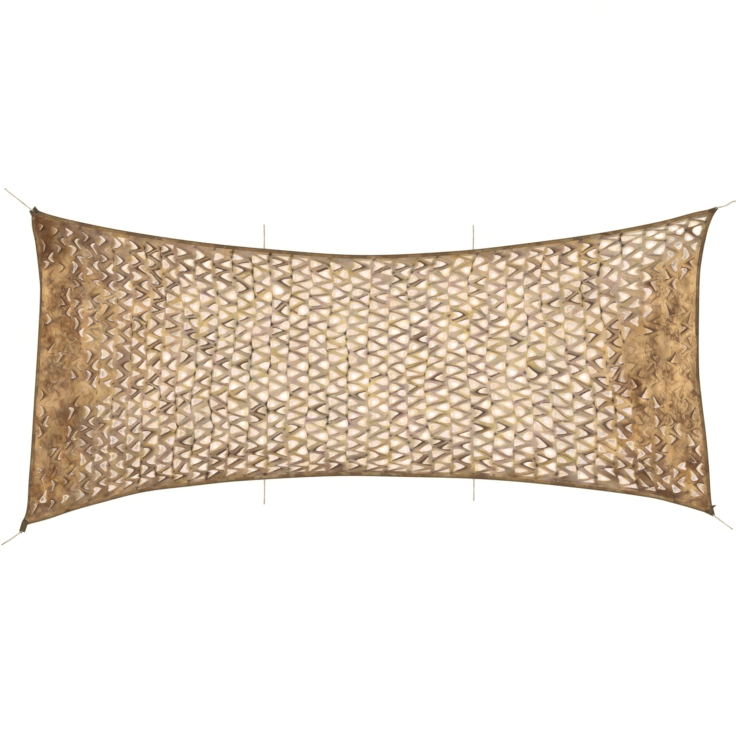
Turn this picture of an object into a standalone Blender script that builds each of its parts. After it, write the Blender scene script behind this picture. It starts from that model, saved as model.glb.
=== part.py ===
"""Camouflage netting laid out flat on z = 0, stretched by eight short ties.

A slit cloth panel opens into rows of three-sided gaps. A folded tape binds each of its
four edges, a dark tab closes each corner, and a cord tie leaves every tab and two
places on both long edges. Metres, +X along the net, +Y across it, +Z up.
"""

import math

import bmesh
import bpy
from mathutils import Vector

NAME = "camouflage_netting"
GAP = 0.0003  # clearance between neighbouring pieces

# ---- Outline -------------------------------------------------------------------------

# The points where the outer edges of two bindings would meet.
CORNER = {
    "top_left": Vector((-1.6568, 0.7977)),
    "top_right": Vector((1.7134, 0.7953)),
    "bottom_left": Vector((-1.7060, -0.7692)),
    "bottom_right": Vector((1.6986, -0.7151)),
}

# How far each edge bows inwards from the straight line between its two corners.
# Columns: share of the edge from its first corner, bow.
TOP_BOW = (
    (0.000, 0.000),
    (0.024, 0.032),
    (0.059, 0.062),
    (0.129, 0.110),
    (0.234, 0.164),
    (0.339, 0.201),
    (0.480, 0.232),
    (0.620, 0.212),
    (0.725, 0.173),
    (0.830, 0.123),
    (0.918, 0.066),
    (0.970, 0.020),
    (1.000, 0.000),
)
BOTTOM_BOW = (
    (0.000, 0.000),
    (0.038, 0.032),
    (0.073, 0.070),
    (0.108, 0.102),
    (0.177, 0.157),
    (0.246, 0.183),
    (0.316, 0.204),
    (0.455, 0.221),
    (0.559, 0.211),
    (0.663, 0.195),
    (0.767, 0.160),
    (0.905, 0.093),
    (0.952, 0.052),
    (1.000, 0.000),
)
LEFT_BOW = (
    (0.000, 0.000),
    (0.058, 0.005),
    (0.108, 0.023),
    (0.209, 0.047),
    (0.259, 0.055),
    (0.410, 0.052),
    (0.611, 0.042),
    (0.761, 0.035),
    (0.862, 0.028),
    (0.945, 0.023),
    (1.000, 0.000),
)
RIGHT_BOW = (
    (0.000, 0.000),
    (0.059, 0.036),
    (0.111, 0.055),
    (0.163, 0.069),
    (0.215, 0.078),
    (0.319, 0.081),
    (0.528, 0.078),
    (0.632, 0.062),
    (0.736, 0.041),
    (0.840, 0.025),
    (0.945, 0.013),
    (1.000, 0.000),
)

# ---- Cloth panel ---------------------------------------------------------------------

CLOTH = 0.0015  # thickness of the panel's cloth
COLUMNS = 18  # seam-to-seam columns along the net
ROWS = 8  # rows of gaps across it
EDGE_INSET = (0.0009, 0.0023)  # panel edge inside the outline, as shares of each way
LATTICE_INSET = (0.0071, 0.0222)  # the same for the lattice inside its plain rim
OPEN_SHARE = 0.62  # size of a fully open gap within its own three-sided cell
LEAST_SHARE = 0.24  # a gap that would open less than this stays shut
SEAM_TO_HEART = 0.26  # from a gap's seam to its centre, in columns
SHARP_PULL = 0.90  # how far a gap's corners and its seam side are drawn in
SIDE_PUSH = 1.06  # how far its two slanting sides swell out
RIM_FADE = 0.5  # cells over which the folds rise from the flat rim

# Where the cloth is slack and its gaps close up.
# Columns: centre x, centre y, reach along x, reach along y, strength.
SLACK = (
    (-1.68, 0.08, 0.52, 1.10, 1.25),
    (-1.50, 0.70, 0.40, 0.32, 0.70),
    (-1.52, -0.62, 0.45, 0.34, 0.70),
    (1.66, -0.04, 0.50, 0.62, 1.30),
    (1.22, 0.14, 0.22, 0.26, 0.60),
    (1.58, -0.56, 0.42, 0.30, 0.90),
)

# The main folds, as rounded ridges between two points.
# Columns: first x, first y, second x, second y, half width, height.
FOLDS = (
    (-1.60, 0.62, -1.22, 0.22, 0.17, 0.016),
    (-1.57, 0.36, -1.50, -0.12, 0.14, 0.018),
    (-1.60, -0.20, -1.36, -0.46, 0.15, 0.015),
    (-1.60, -0.62, -1.18, -0.36, 0.17, 0.016),
    (-1.30, 0.02, -1.24, -0.30, 0.14, 0.010),
    (-1.06, 0.46, -0.92, 0.16, 0.15, 0.009),
    (-1.02, -0.44, -0.86, -0.20, 0.15, 0.008),
    (1.52, 0.56, 1.46, 0.16, 0.15, 0.016),
    (1.58, 0.10, 1.50, -0.30, 0.14, 0.018),
    (1.56, -0.60, 1.20, -0.34, 0.17, 0.015),
    (1.30, 0.26, 1.22, -0.12, 0.15, 0.013),
    (1.04, 0.40, 0.94, 0.12, 0.15, 0.008),
    (1.00, -0.40, 0.88, -0.16, 0.15, 0.008),
)

# ---- Edge binding --------------------------------------------------------------------

TAPE = 0.0012  # one layer of the folded tape
BINDING_WIDTH = 0.018
FOLD_BACK = 0.0015  # outer edge to the bottom of the slot that holds the cloth
BINDING_HEIGHT = 2 * (TAPE + GAP) + CLOTH
RIM_LEVEL = TAPE + GAP  # underside of the cloth where it lies in the slot

# ---- Corner tabs ---------------------------------------------------------------------

CUT_BACK = 0.040  # from a corner back to the straight cut that its tab covers
TAB_HEIGHT = 0.006
TAB_BEVEL = 0.0008

# Outlines beyond the cut, from its left end round to its right end, looking outwards.
# Columns: distance outwards from the corner, distance to the left of the corner's axis.
TAB_OUTLINE = {
    "top_left": (
        (-0.0400, 0.0243),
        (-0.0299, 0.0233),
        (-0.0069, 0.0194),
        (-0.0100, 0.0110),
        (-0.0100, 0.0010),
        (-0.0050, -0.0110),
        (-0.0034, -0.0184),
        (-0.0267, -0.0199),
        (-0.0400, -0.0243),
    ),
    "top_right": (
        (-0.0400, 0.0214),
        (-0.0120, 0.0110),
        (0.0065, 0.0050),
        (0.0030, -0.0085),
        (-0.0120, -0.0115),
        (-0.0400, -0.0214),
    ),
    "bottom_left": (
        (-0.0400, 0.0222),
        (-0.0254, 0.0155),
        (-0.0016, 0.0288),
        (0.0115, 0.0340),
        (0.0145, 0.0243),
        (0.0277, 0.0253),
        (0.0252, 0.0099),
        (-0.0143, -0.0135),
        (-0.0400, -0.0222),
    ),
    "bottom_right": (
        (-0.0400, 0.0255),
        (-0.0276, 0.0441),
        (-0.0270, 0.0215),
        (0.0056, 0.0055),
        (0.0056, -0.0055),
        (-0.0400, -0.0255),
    ),
}

# The side of each outline that carries a tie, by its first point.
TIE_SEAT = {"top_left": 3, "top_right": 2, "bottom_left": 5, "bottom_right": 3}

# ---- Ties ----------------------------------------------------------------------------

TIE_DIAMETER = 0.0055
TIE_POINTS = 10

# Where each corner's tie runs after its seat: points on the surface, free end last.
CORNER_TIE = {
    "top_left": ((-1.7205, 0.8369), (-1.7833, 0.8854)),
    "top_right": ((1.7590, 0.8085), (1.7930, 0.8275), (1.8266, 0.8302)),
    "bottom_left": ((-1.7557, -0.8307), (-1.7985, -0.8578)),
    "bottom_right": ((1.7464, -0.7516), (1.7877, -0.7820)),
}

# The ties of the long edges. Columns: name, edge, x at the edge, middle x, middle y,
# free end x, free end y.
EDGE_TIE = (
    ("tie_top_left", "top", -0.5130, -0.5119, 0.6502, -0.5129, 0.7068),
    ("tie_top_right", "top", 0.5162, 0.5168, 0.6477, 0.5164, 0.7043),
    ("tie_bottom_left", "bottom", -0.5115, -0.5108, -0.6000, -0.5119, -0.6561),
    ("tie_bottom_right", "bottom", 0.5180, 0.5190, -0.5900, 0.5183, -0.6364),
)

# ---- Colours: red, green, blue, roughness --------------------------------------------

CLOTH_LOOK = (0.42, 0.27, 0.13, 0.85)
BINDING_LOOK = (0.20, 0.14, 0.06, 0.80)
TAB_LOOK = (0.10, 0.09, 0.06, 0.80)
TIE_LOOK = (0.74, 0.74, 0.68, 0.70)


def clear_scene():
    for item in list(bpy.data.objects):
        bpy.data.objects.remove(item, do_unlink=True)


def material(name, look):
    made = bpy.data.materials.new(name)
    made.use_nodes = True
    shader = made.node_tree.nodes["Principled BSDF"]
    shader.inputs["Base Color"].default_value = (*look[:3], 1.0)
    shader.inputs["Roughness"].default_value = look[3]
    shader.inputs["Metallic"].default_value = 0.0
    return made


def add_object(name, data, look_of, parts):
    made = bpy.data.objects.new(name, data)
    parts.objects.link(made)
    data.materials.append(look_of)
    return made


def mesh_from(bm, name):
    data = bpy.data.meshes.new(name)
    bm.to_mesh(data)
    bm.free()
    return data


# ---- Outline functions ---------------------------------------------------------------


def smooth_value(rows, share):
    """The second column of a table at a value of its first, on a smooth curve."""
    last = len(rows) - 2
    k = min(last, max(i for i in range(last + 1) if rows[i][0] <= share or i == 0))

    def slope(i):
        low, high = max(0, i - 1), min(len(rows) - 1, i + 1)
        return (rows[high][1] - rows[low][1]) / (rows[high][0] - rows[low][0])

    (x0, y0), (x1, y1) = rows[k], rows[k + 1]
    width = x1 - x0
    t = (share - x0) / width
    start, end = slope(k) * width, slope(k + 1) * width
    return (
        (1 + 2 * t) * (1 - t) ** 2 * y0
        + t * (1 - t) ** 2 * start
        + t * t * (3 - 2 * t) * y1
        + t * t * (t - 1) * end
    )


def edge_point(edge, share):
    """A point of the outline: edges run left to right, or top to bottom."""
    first, second, rows, turn = {
        "top": ("top_left", "top_right", TOP_BOW, -1),
        "bottom": ("bottom_left", "bottom_right", BOTTOM_BOW, 1),
        "left": ("top_left", "bottom_left", LEFT_BOW, 1),
        "right": ("top_right", "bottom_right", RIGHT_BOW, -1),
    }[edge]
    a, b = CORNER[first], CORNER[second]
    chord = (b - a).normalized()
    inwards = Vector((-chord.y, chord.x)) * turn
    return a.lerp(b, share) + inwards * smooth_value(rows, share)


def rim_shares(cells, inset):
    """Stations along an edge, one for each half cell of the lattice beside it."""
    return [inset + (1 - 2 * inset) * k / (2 * cells) for k in range(2 * cells + 1)]


def rim_line(edge):
    """The outline's stations along one edge, from its first corner."""
    if edge in ("top", "bottom"):
        shares = rim_shares(COLUMNS, LATTICE_INSET[0])
    else:
        shares = rim_shares(ROWS, LATTICE_INSET[1])
    return [edge_point(edge, share) for share in shares]


def inward_way(edge, along):
    """The way into the net, square to a direction along an edge."""
    turn = -1 if edge in ("top", "right") else 1
    return Vector((-along.y, along.x)) * turn


def net_point(u, v):
    """The plan point at u along and v across the net, both from 0 to 1."""
    rails = edge_point("bottom", u) * (1 - v) + edge_point("top", u) * v
    posts = edge_point("left", 1 - v) * (1 - u) + edge_point("right", 1 - v) * u
    low = CORNER["bottom_left"].lerp(CORNER["bottom_right"], u)
    high = CORNER["top_left"].lerp(CORNER["top_right"], u)
    return rails + posts - low.lerp(high, v)


def corner_axes(corner):
    """The outward direction at a corner, and the direction to the left of it."""
    row, column = corner.split("_")
    near = 0.02
    beside = edge_point(row, near if column == "left" else 1 - near)
    below = edge_point(column, 2 * near if row == "top" else 1 - 2 * near)
    here = CORNER[corner]
    outward = -((beside - here).normalized() + (below - here).normalized()).normalized()
    return outward, Vector((-outward.y, outward.x))


# ---- Cloth panel ---------------------------------------------------------------------


def slackness(spot):
    """How shut the cloth's gaps are at a point: 0 fully open, 1 or more shut."""
    total = 0.0
    for x, y, reach_x, reach_y, strength in SLACK:
        off = math.hypot((spot.x - x) / reach_x, (spot.y - y) / reach_y)
        if off < 1:
            total += strength * (1 - off * off)
    return total


def fold_height(spot):
    """How far the main folds lift the cloth at a point."""
    lifts = [0.0]
    for x1, y1, x2, y2, half_width, height in FOLDS:
        start, run = Vector((x1, y1)), Vector((x2 - x1, y2 - y1))
        share = min(1.0, max(0.0, (spot - start).dot(run) / run.length_squared))
        off = (spot - start - run * share).length / half_width
        if off < 1:
            lifts.append(height * (0.5 + 0.5 * math.cos(math.pi * off)))
    return max(lifts)


def lattice_spot(s, t):
    """Plan point at s columns from the left and t rows from the bottom."""
    inset_u, inset_v = LATTICE_INSET
    u = inset_u + (1 - 2 * inset_u) * s / COLUMNS
    v = inset_v + (1 - 2 * inset_v) * t / ROWS
    return net_point(u, v)


def lattice_height(s, t, spot):
    """Underside of the cloth: the flat rim, rising into the folds."""
    inner = min(s, COLUMNS - s, t, ROWS - t) / RIM_FADE
    fade = min(1.0, max(0.0, inner))
    return RIM_LEVEL * (1 - fade) + fold_height(spot) * fade


def cell_outlines():
    """Each three-sided cell: its corners and side middles, and its heart, in (s, t)."""
    for i in range(COLUMNS):
        for k in range(ROWS):
            ring = ((0, 0), (0.5, 0.25), (1, 0.5), (0.5, 0.75), (0, 1), (0, 0.5))
            yield [(i + a, k + b) for a, b in ring], (i + SEAM_TO_HEART, k + 0.5)
        for k in range(1, ROWS):
            ring = ((0, 0), (0.5, -0.25), (1, -0.5), (1, 0), (1, 0.5), (0.5, 0.25))
            yield [(i + a, k + b) for a, b in ring], (i + 1 - SEAM_TO_HEART, k)
        low = ((0, 0), (0.5, 0), (1, 0), (1, 0.5), (0.5, 0.25))
        yield [(i + a, b) for a, b in low], None
        high = ((0, 0), (0.5, -0.25), (1, -0.5), (1, 0), (0.5, 0))
        yield [(i + a, ROWS + b) for a, b in high], None


def panel_mesh():
    """The cloth's underside as one open surface with its gaps left out."""
    bm = bmesh.new()
    known = {}

    def vertex(s, t):
        key = (round(s, 4), round(t, 4))
        if key not in known:
            spot = lattice_spot(s, t)
            known[key] = bm.verts.new((*spot, lattice_height(s, t, spot)))
        return known[key]

    def rim_vertex(s, t, out_s, out_t):
        """The panel's edge, straight out from a rim point of the lattice."""
        key = ("rim", s, t, out_s, out_t)
        if key not in known:
            u, v = (
                (edge if w == 0 else 1 - edge) if out else inset + (1 - 2 * inset) * w
                for w, out, inset, edge in zip(
                    (s / COLUMNS, t / ROWS), (out_s, out_t), LATTICE_INSET, EDGE_INSET
                )
            )
            known[key] = bm.verts.new((*net_point(u, v), RIM_LEVEL))
        return known[key]

    def fan(ring, heart):
        """A shut cell: cloth from its sides to its middle, or across a half cell."""
        if heart is None:
            bm.faces.new([vertex(*p) for p in ring])
            return
        for j, point in enumerate(ring):
            after = ring[(j + 1) % len(ring)]
            bm.faces.new((vertex(*point), vertex(*after), vertex(*heart)))

    def frame(ring, heart, share):
        """An open cell: the cloth between its sides and its gap."""
        inner = []
        for j, (s, t) in enumerate(ring):
            reach = share * (SIDE_PUSH if s % 1 == 0.5 else SHARP_PULL)
            inner.append(
                (heart[0] + (s - heart[0]) * reach, heart[1] + (t - heart[1]) * reach)
            )
        for j in range(len(ring)):
            n = (j + 1) % len(ring)
            quad = (ring[j], ring[n], inner[n], inner[j])
            bm.faces.new([vertex(*p) for p in quad])

    for ring, heart in cell_outlines():
        share = 0.0
        if heart is not None:
            share = OPEN_SHARE * (1 - slackness(lattice_spot(*heart)))
        if share < LEAST_SHARE:
            fan(ring, heart)
        else:
            frame(ring, heart, share)

    halves = [k / 2 for k in range(2 * COLUMNS + 1)]
    rows = [k / 2 for k in range(2 * ROWS + 1)]
    sides = (
        ([(s, 0) for s in halves], (False, True)),
        ([(COLUMNS, t) for t in rows], (True, False)),
        ([(s, ROWS) for s in reversed(halves)], (False, True)),
        ([(0, t) for t in reversed(rows)], (True, False)),
    )
    for side, out in sides:
        for here, after in zip(side, side[1:]):
            edge = (rim_vertex(*here, *out), rim_vertex(*after, *out))
            bm.faces.new((*edge, vertex(*after), vertex(*here)))
    for (side, out), (_, out_before) in zip(sides, (sides[-1], *sides)):
        here = side[0]
        edge = (rim_vertex(*here, *out_before), rim_vertex(*here, True, True))
        bm.faces.new((*edge, rim_vertex(*here, *out), vertex(*here)))
    return bm


def make_panel(parts, look):
    bm = panel_mesh()
    for corner, here in CORNER.items():
        outward, _ = corner_axes(corner)
        cut = here - outward * (CUT_BACK + GAP)
        bmesh.ops.bisect_plane(
            bm,
            geom=bm.verts[:] + bm.edges[:] + bm.faces[:],
            plane_co=(*cut, 0),
            plane_no=(*outward, 0),
            clear_outer=True,
        )
    bmesh.ops.triangulate(bm, faces=bm.faces[:])
    made = add_object("net_panel", mesh_from(bm, "net_panel"), look, parts)
    thicken = made.modifiers.new("cloth", "SOLIDIFY")
    thicken.thickness = CLOTH
    thicken.offset = 1.0


# ---- Edge binding --------------------------------------------------------------------


def binding_profile():
    """The folded tape across its width: inward distance and height, anticlockwise."""
    top = BINDING_HEIGHT
    return (
        (TAPE, 0.0),
        (BINDING_WIDTH, 0.0),
        (BINDING_WIDTH, TAPE),
        (FOLD_BACK, TAPE),
        (FOLD_BACK, top - TAPE),
        (BINDING_WIDTH, top - TAPE),
        (BINDING_WIDTH, top),
        (TAPE, top),
        (0.0, top - TAPE),
        (0.0, TAPE),
    )


def onto_cut(spot, along, corner):
    """Slide a point along the tape's direction onto the face of a corner's cut."""
    outward, _ = corner_axes(corner)
    face = CORNER[corner] - outward * (CUT_BACK + GAP)
    return spot + along * ((face - spot).dot(outward) / along.dot(outward))


def make_binding(edge, parts, look):
    """The tape's section swept along one edge, from one corner's cut to the next."""
    if edge in ("top", "bottom"):
        ends = (f"{edge}_left", f"{edge}_right")
    else:
        ends = (f"top_{edge}", f"bottom_{edge}")
    line = rim_line(edge)
    runs = [(b - a).normalized() for a, b in zip(line, line[1:])]
    bm = bmesh.new()
    rings = []
    for k, here in enumerate(line):
        before, after = runs[max(0, k - 1)], runs[min(k, len(runs) - 1)]
        inwards = inward_way(edge, (before + after).normalized())
        inwards /= inwards.dot(inward_way(edge, after))
        ring = []
        for inward, height in binding_profile():
            spot = here + inwards * inward
            if k == 0:
                spot = onto_cut(spot, after, ends[0])
            elif k == len(line) - 1:
                spot = onto_cut(spot, before, ends[1])
            ring.append(bm.verts.new((*spot, height)))
        rings.append(ring)
    for ring, after in zip(rings, rings[1:]):
        for j in range(len(ring)):
            n = (j + 1) % len(ring)
            bm.faces.new((ring[j], ring[n], after[n], after[j]))
    bm.faces.new(rings[0])
    bm.faces.new(rings[-1])
    bmesh.ops.recalc_face_normals(bm, faces=bm.faces[:])
    name = f"binding_{edge}"
    add_object(name, mesh_from(bm, name), look, parts)


# ---- Corner tabs ---------------------------------------------------------------------


def tab_points(corner):
    outward, left = corner_axes(corner)
    rows = TAB_OUTLINE[corner]
    return [CORNER[corner] + outward * out + left * side for out, side in rows]


def make_tab(corner, parts, look):
    """A flat folded end: its outline thickened, with its edges rounded."""
    bm = bmesh.new()
    face = bm.faces.new([bm.verts.new((*p, 0.0)) for p in reversed(tab_points(corner))])
    face.normal_update()
    if face.normal.z < 0:
        face.normal_flip()
    name = f"tab_{corner}"
    made = add_object(name, mesh_from(bm, name), look, parts)
    thicken = made.modifiers.new("fold", "SOLIDIFY")
    thicken.thickness = TAB_HEIGHT
    thicken.offset = 1.0
    rounded = made.modifiers.new("edges", "BEVEL")
    rounded.width = TAB_BEVEL
    rounded.segments = 1


# ---- Ties ----------------------------------------------------------------------------


def smooth_route(points, count):
    """Evenly spaced points on a smooth curve through the given ones."""
    ends = [points[0] * 2 - points[1], *points, points[-1] * 2 - points[-2]]
    fine = []
    steps = 24
    for a, b, c, d in zip(ends, ends[1:], ends[2:], ends[3:]):
        for k in range(steps):
            t = k / steps
            bend = (c - a) * t + (2 * a - 5 * b + 4 * c - d) * t**2
            fine.append(b + (bend + (3 * b - a - 3 * c + d) * t**3) / 2)
    fine.append(points[-1])
    reach = [0.0]
    for a, b in zip(fine, fine[1:]):
        reach.append(reach[-1] + (b - a).length)
    picked = []
    for k in range(count):
        want = reach[-1] * k / (count - 1)
        j = max(i for i in range(len(fine) - 1) if reach[i] <= want)
        share = (want - reach[j]) / (reach[j + 1] - reach[j])
        picked.append(fine[j].lerp(fine[j + 1], min(1.0, share)))
    return picked


def make_tie(name, seat, facing, onwards, parts, look):
    """A round cord lying on the surface, from its seat to its free end."""
    radius = TIE_DIAMETER / 2
    way = (onwards[0] - seat).normalized()
    tilt = math.sqrt(max(0.0, 1 - way.dot(facing) ** 2))
    root = seat + way * (GAP + radius * tilt)
    curve = bpy.data.curves.new(name, "CURVE")
    curve.dimensions = "3D"
    curve.bevel_depth = radius
    curve.bevel_resolution = 2
    curve.use_fill_caps = True
    spline = curve.splines.new("POLY")
    spline.points.add(TIE_POINTS - 1)
    for point, spot in zip(spline.points, smooth_route([root, *onwards], TIE_POINTS)):
        point.co = (*spot, radius, 1.0)
    add_object(name, curve, look, parts)


def make_corner_ties(parts, look):
    for corner, onwards in CORNER_TIE.items():
        points = tab_points(corner)
        a, b = points[TIE_SEAT[corner]], points[TIE_SEAT[corner] + 1]
        run = (b - a).normalized()
        facing = Vector((-run.y, run.x))
        if facing.dot(corner_axes(corner)[0]) < 0:
            facing = -facing
        route = [Vector(p) for p in onwards]
        make_tie(f"tie_corner_{corner}", a.lerp(b, 0.5), facing, route, parts, look)


def make_edge_ties(parts, look):
    for name, edge, x, middle_x, middle_y, end_x, end_y in EDGE_TIE:
        line = rim_line(edge)
        a, b = next(pair for pair in zip(line, line[1:]) if pair[1].x >= x)
        seat = a.lerp(b, (x - a.x) / (b.x - a.x))
        facing = -inward_way(edge, (b - a).normalized())
        route = [Vector((middle_x, middle_y)), Vector((end_x, end_y))]
        make_tie(name, seat, facing, route, parts, look)


def main():
    clear_scene()
    parts = bpy.data.collections.new(NAME)
    bpy.context.scene.collection.children.link(parts)
    make_panel(parts, material("camouflage_cloth", CLOTH_LOOK))
    binding = material("binding_tape", BINDING_LOOK)
    for edge in ("top", "bottom", "left", "right"):
        make_binding(edge, parts, binding)
    tab = material("corner_tab", TAB_LOOK)
    for corner in CORNER:
        make_tab(corner, parts, tab)
    tie = material("tie_cord", TIE_LOOK)
    make_corner_ties(parts, tie)
    make_edge_ties(parts, tie)


main()
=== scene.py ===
"""Camouflage netting laid flat on a pale floor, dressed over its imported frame.

The printed cloth is slit in 36 columns between dark seam threads. Where the net is
stretched its slits open into three-sided gaps, and at both slack ends they close to
bent slivers between raised tongues. A folded tape binds the edges, a dark tab closes
each corner, and eight pale cord ties leave them. Metres, +Z up.
"""

import math

import bpy
import numpy as np
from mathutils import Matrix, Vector
from mathutils.geometry import delaunay_2d_cdt


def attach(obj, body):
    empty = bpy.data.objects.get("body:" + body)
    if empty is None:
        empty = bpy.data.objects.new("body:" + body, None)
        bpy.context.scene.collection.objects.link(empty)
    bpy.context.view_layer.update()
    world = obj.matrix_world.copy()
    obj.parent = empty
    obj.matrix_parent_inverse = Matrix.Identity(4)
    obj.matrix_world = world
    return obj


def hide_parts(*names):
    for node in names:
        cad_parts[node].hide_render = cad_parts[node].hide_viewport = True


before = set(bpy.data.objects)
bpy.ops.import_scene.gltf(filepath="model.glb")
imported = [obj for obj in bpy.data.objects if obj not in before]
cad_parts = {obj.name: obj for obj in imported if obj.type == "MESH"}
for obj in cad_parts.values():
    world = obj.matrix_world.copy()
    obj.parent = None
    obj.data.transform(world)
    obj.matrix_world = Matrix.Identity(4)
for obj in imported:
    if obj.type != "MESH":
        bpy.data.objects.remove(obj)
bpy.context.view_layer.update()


# ---- View and light ----------------

VIEW_WIDTH = 3.6211  # what the picture takes in across the floor
VIEW_CENTRE = (-0.0012, 0.0081)
VIEW_HEIGHT = 14.0
SENSOR_WIDTH = 36.0  # millimetres
FLOOR_REACH = 20.0
ROOM_LIGHT = (1.0, 0.945, 0.86, 1.0)
ROOM_STRENGTH = 0.88
KEY_LIGHT = (1.0, 0.975, 0.94)
KEY_STRENGTH = 1.55
KEY_WIDTH = 14  # degrees that the light covers in the sky
KEY_WAY = (0.55, -0.62, -1.0)


# ---- Outline, as the frame has it ----------------

CORNER = {
    "top_left": (-1.6568, 0.7977),
    "top_right": (1.7134, 0.7953),
    "bottom_left": (-1.7060, -0.7692),
    "bottom_right": (1.6986, -0.7151),
}

# Columns: share of the edge from its first corner, inward bow.
TOP_BOW = (
    (0.000, 0.000), (0.024, 0.032), (0.059, 0.062), (0.129, 0.110), (0.234, 0.164),
    (0.339, 0.201), (0.480, 0.232), (0.620, 0.212), (0.725, 0.173), (0.830, 0.123),
    (0.918, 0.066), (0.970, 0.020), (1.000, 0.000),
)
BOTTOM_BOW = (
    (0.000, 0.000), (0.038, 0.032), (0.073, 0.070), (0.108, 0.102), (0.177, 0.157),
    (0.246, 0.183), (0.316, 0.204), (0.455, 0.221), (0.559, 0.211), (0.663, 0.195),
    (0.767, 0.160), (0.905, 0.093), (0.952, 0.052), (1.000, 0.000),
)
LEFT_BOW = (
    (0.000, 0.000), (0.058, 0.005), (0.108, 0.023), (0.209, 0.047), (0.259, 0.055),
    (0.410, 0.052), (0.611, 0.042), (0.761, 0.035), (0.862, 0.028), (0.945, 0.023),
    (1.000, 0.000),
)
RIGHT_BOW = (
    (0.000, 0.000), (0.059, 0.036), (0.111, 0.055), (0.163, 0.069), (0.215, 0.078),
    (0.319, 0.081), (0.528, 0.078), (0.632, 0.062), (0.736, 0.041), (0.840, 0.025),
    (0.945, 0.013), (1.000, 0.000),
)
EDGES = {
    "top": ("top_left", "top_right", TOP_BOW, -1),
    "bottom": ("bottom_left", "bottom_right", BOTTOM_BOW, 1),
    "left": ("top_left", "bottom_left", LEFT_BOW, 1),
    "right": ("top_right", "bottom_right", RIGHT_BOW, -1),
}
CUT_BACK = 0.0403  # from a corner back to where its tab takes over


# ---- Cloth ----------------

COLUMNS = 36
ROWS = 16
EDGE_INSET = (0.0009, 0.0023)
LATTICE_INSET = (0.0071, 0.0222)
SLOT_LEVEL = 0.0022  # height of the cloth between the tape's layers
LEAST_LEVEL = 0.0006
FLAT_LEVEL = 0.0042  # the cloth's height away from its folds
EASE_FROM, EASE_OVER = 0.018, 0.0095  # folds past the first rise by less than the second
HELD_CELLS = 1.2  # how many cells in from an edge the lattice wanders freely
FRAY_NUMBERS = (140, 70)  # loose threads round a gap, and round a half gap
FRAY_REACH = (0.0040, 0.0230)  # about the shortest and longest, in a wide gap
FRAY_WIDTH = (0.0005, 0.0009)  # half the width at the root, least and most
SEAM_LEAST = 0.24  # the strength from which a seam's thread is drawn
SEAM_SUNK = 0.0014  # how far the thread sinks below the cloth's level
SEAM_DIP = 0.0009  # how far the cloth dips at a seam

# A random field's size in knots, and where plan points start in it.
FIELD_KNOTS = (101, 97)
FIELD_SHIFT = (31.7, 17.3)

ZIGZAG = 0.045  # how far a seam swings to each side within a row, in columns
# Sums of fields. Columns: share, feature size, squeeze across, seed.
WANDER_ALONG = ((0.15, 2.1, 1.0, 11), (0.08, 0.8, 1.0, 12))
WANDER_ACROSS = ((0.20, 1.9, 1.0, 13), (0.11, 0.75, 1.0, 14))
RUMPLES = ((0.36, 0.11, 1.0, 22), (0.30, 0.05, 0.45, 23), (0.34, 0.028, 0.30, 25))
RUMPLE_HEIGHT = 0.0068

# Where the seams lie. Columns: seam number, share of the way along the net.
SEAM_SHARE = (
    (0.0, 0.000), (4.0, 0.090), (8.0, 0.186), (11.0, 0.265), (16.0, 0.409), (22.0, 0.592),
    (29.0, 0.809), (33.0, 0.926), (36.0, 1.000),
)

# How far open the slits are, by height across the net; past 1 the bands are thin.
# Columns: x, at the bottom edge, low, middle, high, at the top edge.
OPENNESS = (
    (-1.68, 0.24, 0.02, 0.00, 0.00, 0.14),
    (-1.56, 0.36, 0.07, 0.01, 0.02, 0.28),
    (-1.46, 0.48, 0.24, 0.06, 0.16, 0.52),
    (-1.38, 0.54, 0.50, 0.22, 0.36, 0.50),
    (-1.28, 0.54, 0.62, 0.56, 0.48, 0.52),
    (-1.12, 0.58, 0.74, 0.58, 0.56, 0.54),
    (-0.95, 0.64, 0.80, 0.72, 0.70, 0.60),
    (-0.75, 0.60, 0.86, 0.83, 0.84, 0.68),
    (-0.45, 0.70, 0.98, 1.00, 0.98, 0.80),
    (0.40, 0.74, 1.00, 1.02, 0.98, 0.78),
    (0.78, 0.70, 0.92, 0.93, 0.84, 0.70),
    (0.98, 0.80, 0.88, 0.88, 0.80, 0.64),
    (1.14, 0.88, 0.80, 0.74, 0.76, 0.84),
    (1.26, 0.96, 0.58, 0.40, 0.80, 1.08),
    (1.36, 0.94, 0.36, 0.02, 0.52, 1.30),
    (1.48, 0.88, 0.24, 0.00, 0.12, 1.30),
    (1.60, 0.80, 0.14, 0.00, 0.00, 1.34),
    (1.70, 0.52, 0.05, 0.00, 0.00, 1.36),
)

# Rows drawn closer together, at the bottom or top edge.
# Columns: seam at the middle, reach in seams, how much, depth as a share of the net.
GATHERS = {
    "bottom": ((12.0, 5.5, 0.36, 0.15), (20.0, 4.5, 0.30, 0.13), (30.5, 4.0, 0.30, 0.18)),
    "top": ((34.5, 4.5, 0.42, 0.20), (1.5, 4.0, 0.18, 0.15)),
}

# How strongly the seams show. Columns: x, share.
SEAM_SHOW = (
    (-1.70, 0.00), (-1.45, 0.02), (-1.32, 0.30), (-1.20, 0.60), (-1.00, 0.95),
    (-0.60, 0.90), (-0.25, 0.58), (0.20, 0.40), (0.70, 0.42), (0.95, 0.62), (1.18, 0.90),
    (1.32, 0.60), (1.44, 0.10), (1.70, 0.00),
)

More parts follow.
